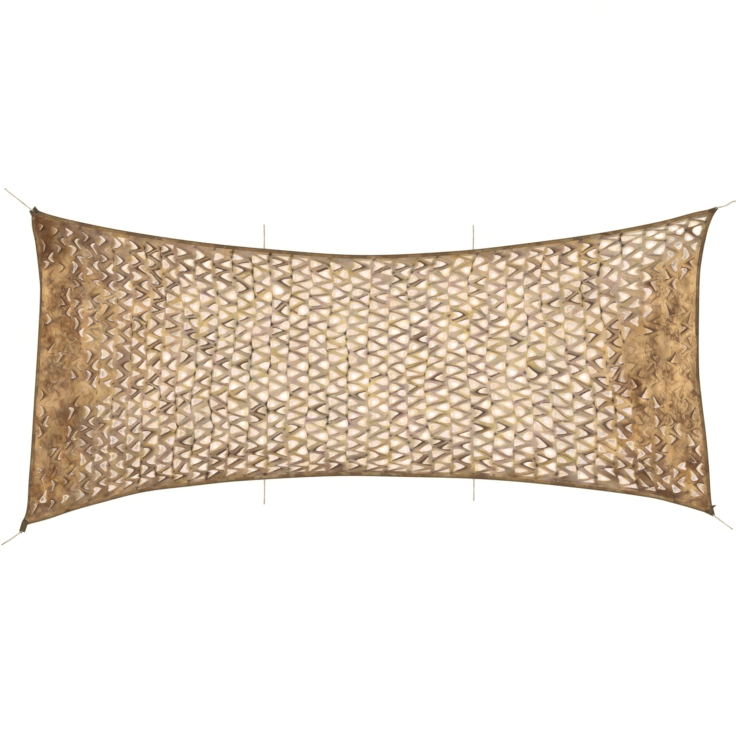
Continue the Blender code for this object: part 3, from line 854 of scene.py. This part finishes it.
def fill_cell(cloth, place, open_share, lean, quiet, loose, rng):
    """Adds a cell's faces and gives the points round its gap."""
    rim, gap, lifts, turned = gap_shape(open_share, lean, quiet, loose, rng)
    count = len(rim)
    rings = []
    for share in RINGS:
        if share == 0:
            rings.append([cloth.shared(*place(a, b)) for a, b in rim])
            continue
        spots = rim + (gap - rim) * share
        rings.append(
            [
                cloth.point(*place(a, b), lift * share**1.4, share * way)
                for (a, b), lift, way in zip(spots, lifts, turned)
            ]
        )
    for ring, after in zip(rings, rings[1:]):
        for j in range(count):
            k = (j + 1) % count
            cloth.faces.append((ring[j], after[j], after[k], ring[k]))
    return rings[-1]


def fill_half(cloth, place, open_share, turn):
    """A half cell beside the long edges, with a small gap where the net is open."""
    n = SIDE_STEPS
    along = [(k / n, 0.0) for k in range(n)]
    side = [(1.0, 0.5 * k / (n // 2)) for k in range(n // 2)]
    back = [(1 - k / n, 0.5 * (1 - k / n)) for k in range(n)]
    loop = np.array(along + side + back)
    ring = [cloth.shared(*place(a, b)) for a, b in loop]
    heart = np.array((0.68, 0.19))
    size = 0.42 * min(1.25, max(0.0, (open_share - 0.55) / 0.45))
    if size < 0.12:
        middle = cloth.point(*place(*heart), 0.0, 0.0)
        for here, after in zip(ring, ring[1:] + ring[:1]):
            cloth.faces.append((here, after, middle)[::turn])
        return None
    for share in (0.45, 1.0):
        spots = heart + (loop - heart) * (1 - share * (1 - size))
        after = [cloth.point(*place(a, b), 0.001 * share, share) for a, b in spots]
        for j in range(len(ring)):
            k = (j + 1) % len(ring)
            cloth.faces.append((ring[j], ring[k], after[k], after[j])[::turn])
        ring = after
    return ring


def right_facing(column, row):
    return lambda a, b: (column + a, row + 0.5 + b)


def left_facing(column, row):
    return lambda a, b: (column + 1 - a, row - b)


def cell_lean(s, t):
    """How far the gaps' tips sit off their middles: up and to the right at lower left."""
    low = bell(s, 14.0, 7.5) * np.exp(-t / 3.0)
    right = bell(s, 31.5, 3.0) * np.exp(-t / 5.0)
    return 0.24 * low - 0.20 * right + 0.07 * unevenness(s, t, 3.0, 15)


def opened_at(places, heart, rng):
    """How open the net is, unevenly, at a point of each place, and where those lie."""
    hearts = np.array([place(*heart) for place in places])
    spots = lattice_plan(hearts[:, 0], hearts[:, 1])
    opened = openness(spots[:, 0], spots[:, 1])
    spread = 0.05 + 0.34 * np.clip(opened * (1.25 - opened), 0, 1)
    return opened + rng.normal(0, 1, len(places)) * spread, hearts


def gap_states(cells, rng):
    """How open, slanted and quiet each cell's gap is, and how loose its shape."""
    count = len(cells)
    opened, hearts = opened_at(cells, (0.35, 0.0), rng)
    s, t = hearts.T
    chance = np.where(s > COLUMNS / 2, 0.035, 0.07)
    stray = (opened < 0.14) & (rng.uniform(0, 1, count) < chance)
    held = (opened > 0.75) & (opened < 1.1) & (rng.uniform(0, 1, count) < 0.15)
    opened = np.where(held, opened - rng.uniform(0.15, 0.6, count), opened)
    loose = np.clip(np.maximum((s - 29) / 3, (6 - s) / 5), 0, 1)
    loose = loose * np.clip(1.15 - opened, 0, 1)
    play = 0.26 * loose * (0.5 + 0.5 * rise(opened, 0, 0.3))
    opened = opened + play * rng.normal(-0.30, 1, count)
    opened = np.clip(np.where(stray, 0.42, opened), -0.04, 1.4)
    left_end, right_end = rise(-s, -7, 2), rise(s, 30, 2)
    flat = rng.uniform(0, 1, count) < 0.80 * left_end + 0.92 * right_end
    faint = np.random.RandomState(6).uniform(0.12, 0.42 + 0.20 * right_end)
    plain = 1 - 0.35 * left_end - 0.25 * right_end
    quiet = np.where(flat & (opened < 0.24), faint, plain)
    return opened, cell_lean(s, t), quiet, loose


def add_border(cloth):
    """Joins the lattice to the cloth's edge, whose points are numbered after its own.

    Gives the edge's rows. Columns: seam, row, whether it lies out along, and across.
    """
    first, rows, known = len(cloth.rows), [], {}

    def rim(s, t, *out):
        key = (*lattice_key(s, t), *out)
        if key not in known:
            known[key] = first + len(rows)
            rows.append((s, t, *out))
        return known[key]

    across = [k / SIDE_STEPS for k in range(COLUMNS * SIDE_STEPS + 1)]
    up = [k / SIDE_STEPS for k in range(ROWS * SIDE_STEPS + 1)]
    sides = (
        ([(s, 0) for s in across], (False, True)),
        ([(COLUMNS, t) for t in up], (True, False)),
        ([(s, ROWS) for s in reversed(across)], (False, True)),
        ([(0, t) for t in reversed(up)], (True, False)),
    )
    for side, out in sides:
        for here, after in zip(side, side[1:]):
            ends = (rim(*here, *out), rim(*after, *out))
            cloth.faces.append((*ends, cloth.shared(*after), cloth.shared(*here)))
    for (side, out), (_, before) in zip(sides, (sides[-1], *sides)):
        here = side[0]
        spokes = (rim(*here, *before), rim(*here, True, True), rim(*here, *out))
        cloth.faces.append((*spokes, cloth.shared(*here)))
    return np.array(rows)


def past_cut(corner, spots, more=0.0):
    """How far plan points lie past where a corner's tab takes over, and which way."""
    outward = np.array(corner_axes(corner)[0])
    face = np.array(CORNER[corner]) - outward * CUT_BACK
    return (spots - face) @ outward - more, outward


def spots_over(least, rows, x, y):
    """A field raised to each of a table's round spots."""
    for middle_x, middle_y, reach, much in rows:
        off = np.hypot(x - middle_x, y - middle_y) / reach
        least = np.maximum(least, much * np.exp(-(off**2)))
    return least


def cloth_marks(s, t, x, y, slack):
    """What the cloth's look reads at the lattice's points, besides its gaps' edges."""
    knot_s, knot_t = np.round(s), np.round(t * 2) / 2
    knot = np.exp(-(((s - knot_s) / 0.085) ** 2) - ((t - knot_t) / 0.13) ** 2)
    knot = knot * np.clip(0.15 + 1.5 * unevenness(knot_s * 5.3, knot_t * 7.1, 1.0, 32), 0, 1)
    # painted shade along the bottom, top and left edges, and at the table's shaded spots
    shaded = np.maximum(0.64 * np.exp(-t / 1.0), 0.42 * np.exp(-(ROWS - t) / 0.8))
    shaded = spots_over(np.maximum(shaded, 0.34 * np.exp(-s / 0.7)), SHADED, x, y)
    lit_places = spots_over(np.zeros(len(x)), LIT_PLACES, x, y)
    # painted shade: a thin dark line along the middle of each band, where it folds
    fold_shade = np.zeros(len(s))
    for way, seed in ((0.5, 51), (-0.5, 52)):
        across = t + way * (s - np.floor(s))
        line = bell(across, np.round(across), 0.06)
        fold_shade = np.maximum(fold_shade, line * (0.55 + 0.9 * unevenness(x, y, 0.13, seed)))
    top_right = (y > 0.25) * rise(x, 1.1, 0.2)
    low_right = (y < 0) * rise(x, 1.05, 0.3)
    return {
        "fold_shade": np.clip(fold_shade * (1 + 0.3 * top_right), 0, 1) * (1 - slack),
        "shaded": np.clip(shaded * (1 + 0.9 * unevenness(x, y, 0.05, 33)), 0, 1),
        "lit_places": np.clip(lit_places * (1 + 0.6 * unevenness(x, y, 0.06, 34)), 0, 1),
        "seam": seam_nearness(s) * seam_strength(s, t, x),
        "relief": summed_unevenness(x, y, RUMPLES) * slack,
        "knot": knot * (0.25 + 0.75 * (1 - slack)),
        "stretch": (1 - slack) * (1 - 0.55 * low_right),
        "crumpled_ends": slack * np.where(x > 0, rise(x, 1.15, 0.25), 0.54),
    }


def seam_nearness(s):
    """1 on a seam, fading out on both sides."""
    return bell(s, np.round(s), 0.052)


def make_cloth(look):
    """The net's cloth, and the loose threads at its cut edges."""
    cloth = Cloth()
    rng = np.random.RandomState(5)
    cells = [right_facing(i, k) for i in range(COLUMNS) for k in range(ROWS)]
    cells += [left_facing(i, k) for i in range(COLUMNS) for k in range(1, ROWS)]
    halves = [lambda a, b, i=i: (i + a, b) for i in range(COLUMNS)]
    halves += [lambda a, b, i=i: (i + a, ROWS - b) for i in range(COLUMNS)]
    gaps, half_gaps = [], []
    for place, state in zip(cells, zip(*gap_states(cells, rng))):
        around = fill_cell(cloth, place, *state, rng)
        if state[0] > 0.15:
            gaps.append(around)
    for k, share in enumerate(opened_at(halves, (0.7, 0.2), rng)[0]):
        share = share * (rng.uniform(0, 1) > 0.35)
        around = fill_half(cloth, halves[k], share, 1 if k < COLUMNS else -1)
        if around:
            half_gaps.append(around)
    rim_plan = rim_spots(add_border(cloth))

    s, t, lift, edge = np.array(cloth.rows).T
    plan = lattice_plan(s, t)
    x, y = plan.T
    level, slack = rest_level(x, y)
    strength = 1 + 0.45 * unevenness(x, y, 0.19, 24)
    z = settled(level + lift * strength - SEAM_DIP * seam_nearness(s), rim_fade(s, t))
    z = np.concatenate([z, np.full(len(rim_plan), SLOT_LEVEL)])
    plan = np.concatenate([plan, rim_plan])
    beyond = np.zeros(len(plan), bool)
    for corner in CORNER:
        over, outward = past_cut(corner, plan, 0.002)
        beyond |= over > 0
        plan = plan - outward * np.maximum(over, 0)[:, None]
    points = np.column_stack([plan, z])
    fray = make_fray([points[np.array(each)] for each in (gaps, half_gaps)], rng)

    faces = [face for face in cloth.faces if not all(beyond[p] for p in face)]
    used = sorted({p for face in faces for p in face})
    index = {p: k for k, p in enumerate(used)}
    faces = [tuple(index[p] for p in face) for face in faces]
    made = mesh_object("net_cloth", points[used], faces, look)
    marks = {"gap_edge": edge, **cloth_marks(s, t, x, y, slack)}
    for name, value in marks.items():
        value = np.concatenate([value, np.zeros(len(rim_plan))])
        point_values(made, name, value[used])
    return dress(made, "net_panel"), fray


def fray_blades(gaps, number, rng):
    """Narrow blades from the cut edges into the gaps, three points each."""
    count, sides = gaps.shape[:2]
    at = (np.arange(number) + rng.uniform(0, 1, (count, number))) * sides / number
    first = np.floor(at).astype(int) % sides
    share = (at - np.floor(at))[..., None]
    row = np.arange(count)[:, None]
    a, b = gaps[row, first], gaps[row, (first + 1) % sides]
    run = b - a
    run = run / np.maximum(np.linalg.norm(run[..., :2], axis=-1), 1e-5)[..., None]
    x, y = gaps[..., 0], gaps[..., 1]
    area = np.sum(x * np.roll(y, -1, 1) - y * np.roll(x, -1, 1), 1) / 2
    turn = np.sign(area)[:, None, None]
    inwards = np.stack([-run[..., 1], run[..., 0], np.zeros(run.shape[:2])], -1) * turn
    # shorter in narrow gaps, and at the right end's two corners
    around = np.sum(np.linalg.norm(np.roll(gaps, -1, 1) - gaps, axis=-1), 1)
    room = np.clip(1.1 * np.abs(area) / around / 0.0075, 0.05, 1)
    corners = 0.45 * rise(y[:, 0], 0.40, 0.15) + 0.35 * rise(-y[:, 0], 0.45, 0.15)
    room = (room * (1 - rise(x[:, 0], 1.30, 0.2) * corners))[:, None, None]
    spread = rng.uniform(-0.5, 0.5, (count, number, 1))
    reach = rng.uniform(*FRAY_REACH, (count, number, 1)) * room
    reach = reach * rng.uniform(0.70, 1.15, (count, 1, 1))
    wide = rng.uniform(*FRAY_WIDTH, (count, number, 1)) * (0.75 + 0.25 * room)
    base = a * (1 - share) + b * share - inwards * 0.0006
    tip = base + (inwards + run * spread) * reach
    tip[..., 2] += rng.uniform(-0.0008, 0.0012, (count, number))
    tip[..., 2] = np.maximum(tip[..., 2], 0.0003)
    return np.stack([base - run * wide, tip, base + run * wide], 2).reshape(-1, 3)


def make_fray(gap_sets, rng):
    """Loose thread ends along the cut edges, as narrow pale blades into the gaps."""
    sets = [(gaps, number) for gaps, number in zip(gap_sets, FRAY_NUMBERS) if len(gaps)]
    blades = np.concatenate([fray_blades(gaps, number, rng) for gaps, number in sets])
    faces = np.arange(len(blades)).reshape(-1, 3).tolist()
    made = mesh_object("frayed_edges", blades, faces, fray_look(), False)
    return dress(made)


def rim_spots(rows):
    """Plan points of the cloth's outer border, held in the tape."""
    s, t, out_s, out_t = rows.T
    u, v = lattice_share(s, t)
    spots = []
    for share, lattice, edge, out in (
        (u, LATTICE_INSET[0], EDGE_INSET[0], out_s),
        (v, LATTICE_INSET[1], EDGE_INSET[1], out_t),
    ):
        inset = np.where(out > 0, edge, lattice)
        spots.append(inset + (1 - 2 * inset) * share)
    return net_points(*spots)


# ---- Tubes, stitches and threads ----------------


def tube(points, radius, sides, around=None):
    """Points and faces of a tube along a line; around scales its radius by angle."""
    points = np.asarray(points, float)
    runs = directions(points)
    left = np.cross((0.0, 0.0, 1.0), runs)
    left /= np.linalg.norm(left, axis=1)[:, None]
    over = np.cross(runs, left)
    angles = np.arange(sides) * 2 * np.pi / sides
    made = []
    for k, here in enumerate(points):
        size = radius[k] if np.ndim(radius) else radius
        wide = size * (around(k, angles) if around else np.ones(sides))
        across = left[k] * (np.cos(angles) * wide)[:, None]
        made.append(here + across + over[k] * (np.sin(angles) * wide)[:, None])
    first, last = end_rings(len(points), sides)
    return np.concatenate(made), [*ring_faces(len(points), sides), first[::-1], last]


def ring_faces(rings, sides):
    """The wall between rings of points, ring by ring."""
    starts = range(0, (rings - 1) * sides, sides)
    turns = [(j, (j + 1) % sides) for j in range(sides)]
    return [(k + a, k + b, k + sides + b, k + sides + a) for k in starts for a, b in turns]


def end_rings(rings, sides):
    """The faces that close the first and the last ring."""
    last = (rings - 1) * sides
    return tuple(range(sides)), tuple(range(last, last + sides))


def joined(pieces):
    """Several pairs of points and faces as one."""
    points, faces, start = [], [], 0
    for some, these in pieces:
        points.append(some)
        faces += [tuple(p + start for p in face) for face in these]
        start += len(some)
    return np.concatenate(points), faces


def make_seams(look):
    """The dark thread sewn down each seam, where it shows."""
    rng = np.random.RandomState(9)
    pieces = []
    steps = ROWS * SIDE_STEPS + 1
    for i in range(1, COLUMNS):
        t = np.linspace(0.1, ROWS - 0.1, steps)
        s = np.full(steps, float(i))
        x, y = lattice_plan(s, t).T
        level, _ = rest_level(x, y)
        z = settled(level - SEAM_SUNK, rim_fade(s, t))
        show = seam_strength(s, t, x) * (1 + 0.3 * rng.uniform(-1, 1, steps))
        wave = 0.0016 * unevenness(s * 5, t, 0.4, 42)
        line = np.column_stack([x + wave, y, z + 0.0006])
        seen = np.pad(show > SEAM_LEAST, 1).astype(int)
        for first, stop in np.flatnonzero(np.diff(seen)).reshape(-1, 2):
            if stop - first < 3:
                continue
            thick = 0.0003 + 0.0021 * np.clip(show[first:stop] - 0.1, 0, 1)
            points, faces = tube(line[first:stop], thick, 5)
            points[:, 2] = np.maximum(points[:, 2], 0.0002)
            pieces.append((points, faces))
    made = mesh_object("seam_threads", *joined(pieces), look)
    return dress(made)


def edge_line(edge, step):
    """Evenly spaced points of an edge between its two corner cuts, with directions."""
    fine = edge_points(edge, np.linspace(0, 1, 3001))
    along = lengths_along(fine)
    inside = np.ones(len(fine), bool)
    *corners, _, turn = EDGES[edge]
    for corner in corners:
        inside &= past_cut(corner, fine)[0] < 0.003
    start, end = along[inside][[0, -1]]
    at = np.linspace(start, end, int((end - start) / step) + 1)
    line = np.column_stack([np.interp(at, along, fine[:, k]) for k in (0, 1)])
    runs = directions(line)
    inwards = np.column_stack([-runs[:, 1], runs[:, 0]]) * turn
    return line, runs, inwards, at


def tie_bulge(edge, line):
    """How much the tape swells over the ties sewn into it."""
    swell = np.zeros(len(line))
    for _, on, x, *_ in EDGE_TIE:
        if on == edge:
            swell = np.maximum(swell, bell(line[:, 0], x, 0.007))
    return swell


def tape_rise(edge, line, at, inward, height):
    """Extra height of the tape's upper layer: small puckers, and the bulge over a tie."""
    if height <= 0.003:
        return np.zeros(len(at))
    seed = sorted(EDGES).index(edge)
    pucker = 0.0005 * unevenness(at, np.full(len(at), seed * 3.0), 0.011, 51)
    pucker = pucker + 0.0004 * unevenness(at, at * 0 + seed, 0.045, 52)
    share = np.clip(inward / 0.018, 0, 1)
    return pucker * share + tie_bulge(edge, line) * 0.0022 * (1 - 0.7 * share)


def make_tape(edge, look):
    """The tape folded over an edge, from one corner tab to the next."""
    line, _, inwards, at = edge_line(edge, TAPE_STEP)
    seed = sorted(EDGES).index(edge)
    drift = 0.0007 * unevenness(at, np.full(len(at), seed * 7.0), 0.03, 53)
    strips = []
    for inward, height in TAPE_SECTION:
        reach = (inward + drift * min(1, inward / 0.01))[:, None]
        level = height + tape_rise(edge, line, at, inward, height)
        strips.append(np.column_stack([line + inwards * reach, np.maximum(level, 0.0)]))
    shape = (len(line), len(TAPE_SECTION))
    points = np.stack(strips, 1).reshape(-1, 3)
    faces = [*ring_faces(*shape), *end_rings(*shape)]
    made = mesh_object(f"tape_{edge}", points, faces, look)
    outer = [np.clip((0.012 - inward) / 0.006, 0, 1) for inward, _ in TAPE_SECTION]
    point_values(made, "outer", np.tile(outer, len(line)))
    return dress(made, f"binding_{edge}")


def make_stitches(look):
    """The two lines of stitches that hold the tape to the cloth."""
    shares = np.array((-0.5, -0.25, 0.25, 0.5)) * STITCH_LENGTH
    sizes = np.array((0.3, 1, 1, 0.3)) * STITCH_RADIUS
    pieces = []
    for edge in EDGES:
        line, runs, inwards, at = edge_line(edge, STITCH_STEP)
        for inward in STITCH_LINES:
            lift = tape_rise(edge, line, at, inward, 0.0046)
            for k in range(len(line)):
                plan = line[k] + inwards[k] * inward + runs[k] * shares[:, None]
                dash = np.column_stack([plan, np.full(4, 0.0048 + lift[k])])
                dash[[0, 3], 2] -= 0.0005
                pieces.append(tube(dash, sizes, 5))
    made = mesh_object("tape_stitches", *joined(pieces), look)
    return dress(made)


# ---- Corner tabs ----------------


def tab_points(corner):
    """The outline of a corner's tab, as the frame has it."""
    outward, left = corner_axes(corner)
    here = Vector(CORNER[corner])
    return [here + outward * out + left * side for out, side in TAB_OUTLINE[corner]]


def rounded_outline(points):
    """The outline with its corners eased, at the tab's spacing."""
    fine = []
    for a, b in zip(points, points[1:] + points[:1]):
        steps = max(2, int((b - a).length / OUTLINE_STEP))
        fine += [a.lerp(b, j / steps) for j in range(steps)]
    fine = np.array([tuple(p) for p in fine])
    width = int(TAB_SPACING / OUTLINE_STEP)
    rolled = [np.roll(fine, j, axis=0) for j in range(-width, width + 1)]
    return np.mean(rolled, axis=0)[::width]


def distance_to(outline, spots):
    """How far each plan point lies from a closed outline."""
    best = np.full(len(spots), 1.0)
    for a, b in zip(outline, np.roll(outline, -1, axis=0)):
        run = b - a
        share = np.clip((spots - a) @ run / max(run @ run, 1e-12), 0, 1)
        best = np.minimum(best, np.linalg.norm(spots - a - share[:, None] * run, axis=1))
    return best


def within(outline, spots):
    """Whether each plan point lies inside a closed outline."""
    inside = np.zeros(len(spots), bool)
    for a, b in zip(outline, np.roll(outline, -1, axis=0)):
        above = (a[1] > spots[:, 1]) != (b[1] > spots[:, 1])
        cross = (b[0] - a[0]) * (spots[:, 1] - a[1]) / (b[1] - a[1] + 1e-15) + a[0]
        inside ^= above & (spots[:, 0] < cross)
    return inside


def make_tab(corner, look):
    """Folded cloth bunched at a corner: rounded rim, and pleats that run out to it."""
    outline = rounded_outline(tab_points(corner))
    lows, highs = outline.min(0), outline.max(0)
    steps = [np.arange(low, high, TAB_SPACING) for low, high in zip(lows, highs)]
    spots = np.column_stack([axis.ravel() for axis in np.meshgrid(*steps)])
    spots = spots[within(outline, spots)]
    spots = spots[distance_to(outline, spots) > TAB_CLEAR]
    rim_count = len(outline)
    plan = [Vector(p) for p in np.concatenate([outline, spots])]
    rim_faces = [(k, (k + 1) % rim_count) for k in range(rim_count)]
    verts, _, faces, origins, _, _ = delaunay_2d_cdt(plan, rim_faces, [], 1, 1e-7)
    plan = np.array([tuple(p) for p in verts])
    on_rim = np.array([bool(o) and min(o) < rim_count for o in origins])
    outward, left = corner_axes(corner)
    here = np.array(CORNER[corner])
    out, side = (plan - here) @ np.array(outward), (plan - here) @ np.array(left)
    seed = sorted(CORNER).index(corner)
    fan = side / (0.09 + np.abs(out + 0.04) * 0.4)
    pleat = np.sin(fan * 95 + 2 * unevenness(out, side, 0.02, 61 + seed) + seed)
    body = TAB_HEIGHT * (0.62 + 0.16 * pleat) + 0.0008 * unevenness(out, side, 0.009, 65)
    share = np.minimum(distance_to(outline, plan) / TAB_ROUNDING, 1)
    ease = np.sqrt(np.clip(1 - (1 - share) ** 2, 0, 1))
    over = np.column_stack([plan, TAB_RIM + (body - TAB_RIM) * ease])
    under = np.column_stack([plan, np.where(on_rim, *TAB_UNDER)])
    count = len(plan)
    faces = [tuple(f) for f in faces]
    edges = dict.fromkeys(pair for f in faces for pair in zip(f, f[1:] + f[:1]))
    rim = [(a, b) for a, b in edges if (b, a) not in edges]
    shape = faces + [tuple(count + p for p in reversed(f)) for f in faces]
    shape += [(b, a, count + a, count + b) for a, b in rim]
    made = mesh_object(f"corner_{corner}", np.concatenate([over, under]), shape, look)
    return dress(made, f"tab_{corner}")


# ---- Ties ----------------


def smooth_route(points, step):
    """Evenly spaced points on a smooth curve through the given ones."""
    ends = [points[0] * 2 - points[1], *points, points[-1] * 2 - points[-2]]
    fine = []
    for a, b, c, d in zip(ends, ends[1:], ends[2:], ends[3:]):
        for k in range(24):
            t = k / 24
            bend = (c - a) * t + (2 * a - 5 * b + 4 * c - d) * t**2
            fine.append(b + (bend + (3 * b - a - 3 * c + d) * t**3) / 2)
    fine = np.array([tuple(p) for p in (*fine, points[-1])])
    along = lengths_along(fine)
    at = np.linspace(0, along[-1], int(along[-1] / step) + 1)
    return np.column_stack([np.interp(at, along, fine[:, k]) for k in (0, 1)]), along[-1]


def frayed_end(end, run, radius, rng):
    """The fibres that fan out from a tie's free end, down to the floor."""
    side = np.array((-run[1], run[0], 0.0))
    shares = np.linspace(0, 1, 5)[:, None]
    for _ in range(END_FIBRES):
        spread, high = rng.uniform(-1, 1), rng.uniform(0.15, 1.6)
        reach = rng.uniform(*END_REACH)
        start = end + side * spread * radius * 0.6 - run * 0.002
        start[2] = radius * (0.3 + high * 0.8)
        line = start + run * (reach + 0.002) * shares
        line = line + side * spread * 0.0032 * shares**1.6
        line[:, 2] += (0.0008 - start[2]) * shares[:, 0] ** 2 * rng.uniform(0.2, 1.0)
        line[:, 2] = np.maximum(line[:, 2], 0.0004)
        yield tube(line, np.linspace(*END_RADII, 5), 4)


def make_tie(name, seat, facing, onwards, look):
    """A three-strand cord from its seat to its frayed free end."""
    radius = TIE_DIAMETER / 2
    way = (onwards[0] - seat).normalized()
    tilt = math.sqrt(max(0.0, 1 - way.dot(facing) ** 2))
    root = seat + way * (TIE_CLEAR + radius * tilt)
    plan, length = smooth_route([root - way * TIE_INSIDE, root, *onwards], TIE_STEP)
    path = np.column_stack([plan, np.full(len(plan), radius)])
    turns = np.arange(len(path)) * TIE_STEP / TIE_LAY * 2 * np.pi

    def strands(k, angles):
        lobe = np.abs(np.cos(1.5 * (angles - turns[k])))
        return 0.80 + 0.20 * lobe**0.6

    sizes = np.full(len(path), radius)
    sizes[-3:] *= (0.97, 0.9, 0.75)
    made = mesh_object(name + "_cord", *tube(path, sizes, 18, strands), look)
    run = (path[-1] - path[-3]) / np.linalg.norm(path[-1] - path[-3])
    fibres = frayed_end(path[-1], run, radius, np.random.RandomState(sum(map(ord, name))))
    fray = mesh_object(name + "_fray", *joined(fibres), look)
    dress(made, name)
    dress(fray)


def make_ties(look):
    """The corner ties, from their tabs' seats, and the long edges' ties."""
    for corner, onwards in CORNER_TIE.items():
        points = tab_points(corner)
        a, b = points[TAB_SEAT[corner]], points[TAB_SEAT[corner] + 1]
        run = (b - a).normalized()
        facing = Vector((-run.y, run.x))
        if facing.dot(corner_axes(corner)[0]) < 0:
            facing = -facing
        route = [Vector(p) for p in onwards]
        make_tie(f"tie_corner_{corner}", a.lerp(b, 0.5), facing, route, look)
    for name, edge, x, middle_x, middle_y, end_x, end_y in EDGE_TIE:
        line, _, inwards, _ = edge_line(edge, 0.002)
        k = int(np.abs(line[:, 0] - x).argmin())
        seat, facing = Vector(line[k]), -Vector(inwards[k])
        route = [Vector((middle_x, middle_y)), Vector((end_x, end_y))]
        make_tie(name, seat, facing, route, look)


# ---- Floor, light and camera ----------------


def make_camera():
    data = bpy.data.cameras.new("camera")
    data.sensor_width = SENSOR_WIDTH
    data.lens = SENSOR_WIDTH * VIEW_HEIGHT / VIEW_WIDTH
    data.clip_end = 100.0
    camera = bpy.data.objects.new("camera", data)
    camera.location = (*VIEW_CENTRE, VIEW_HEIGHT)
    bpy.context.scene.collection.objects.link(camera)
    bpy.context.scene.camera = camera


def make_stage():
    nodes = Nodes("floor_paint")
    value = nodes.noise(nodes.place(), 2.0)
    colour = nodes.mix(value, (0.90, 0.90, 0.89), (0.92, 0.92, 0.91))
    look = nodes.finish(colour, 0.95)
    ways = ((-1, -1, 0), (1, -1, 0), (1, 1, 0), (-1, 1, 0))
    corners = FLOOR_REACH * np.array(ways)
    mesh_object("floor", corners, [(0, 1, 2, 3)], look, False)
    world = bpy.data.worlds.new("soft_room")
    world.use_nodes = True
    room = world.node_tree.nodes["Background"]
    room.inputs["Color"].default_value = ROOM_LIGHT
    room.inputs["Strength"].default_value = ROOM_STRENGTH
    bpy.context.scene.world = world
    data = bpy.data.lights.new("key", "SUN")
    data.energy = KEY_STRENGTH
    data.angle = math.radians(KEY_WIDTH)
    data.color = KEY_LIGHT
    key = bpy.data.objects.new("key", data)
    key.rotation_euler = Vector(KEY_WAY).to_track_quat("-Z", "Y").to_euler()
    bpy.context.scene.collection.objects.link(key)
    bpy.context.scene.view_settings.view_transform = "Standard"


make_camera()
make_ties(cord_look())
net, fray = make_cloth(cloth_look())
seams = make_seams(thread_look("seam_thread", linear(72, 57, 44)))
long_tape, short_tape = tape_look("long_tape", 0.56), tape_look("short_tape", 0.46)
tape_looks = {"top": long_tape, "bottom": long_tape, "left": short_tape, "right": short_tape}
tapes = [make_tape(edge, look) for edge, look in tape_looks.items()]
stitches = make_stitches(thread_look("tape_thread", linear(104, 86, 58)))
tab = tab_look()
tabs = [make_tab(corner, tab) for corner in CORNER]
make_stage()
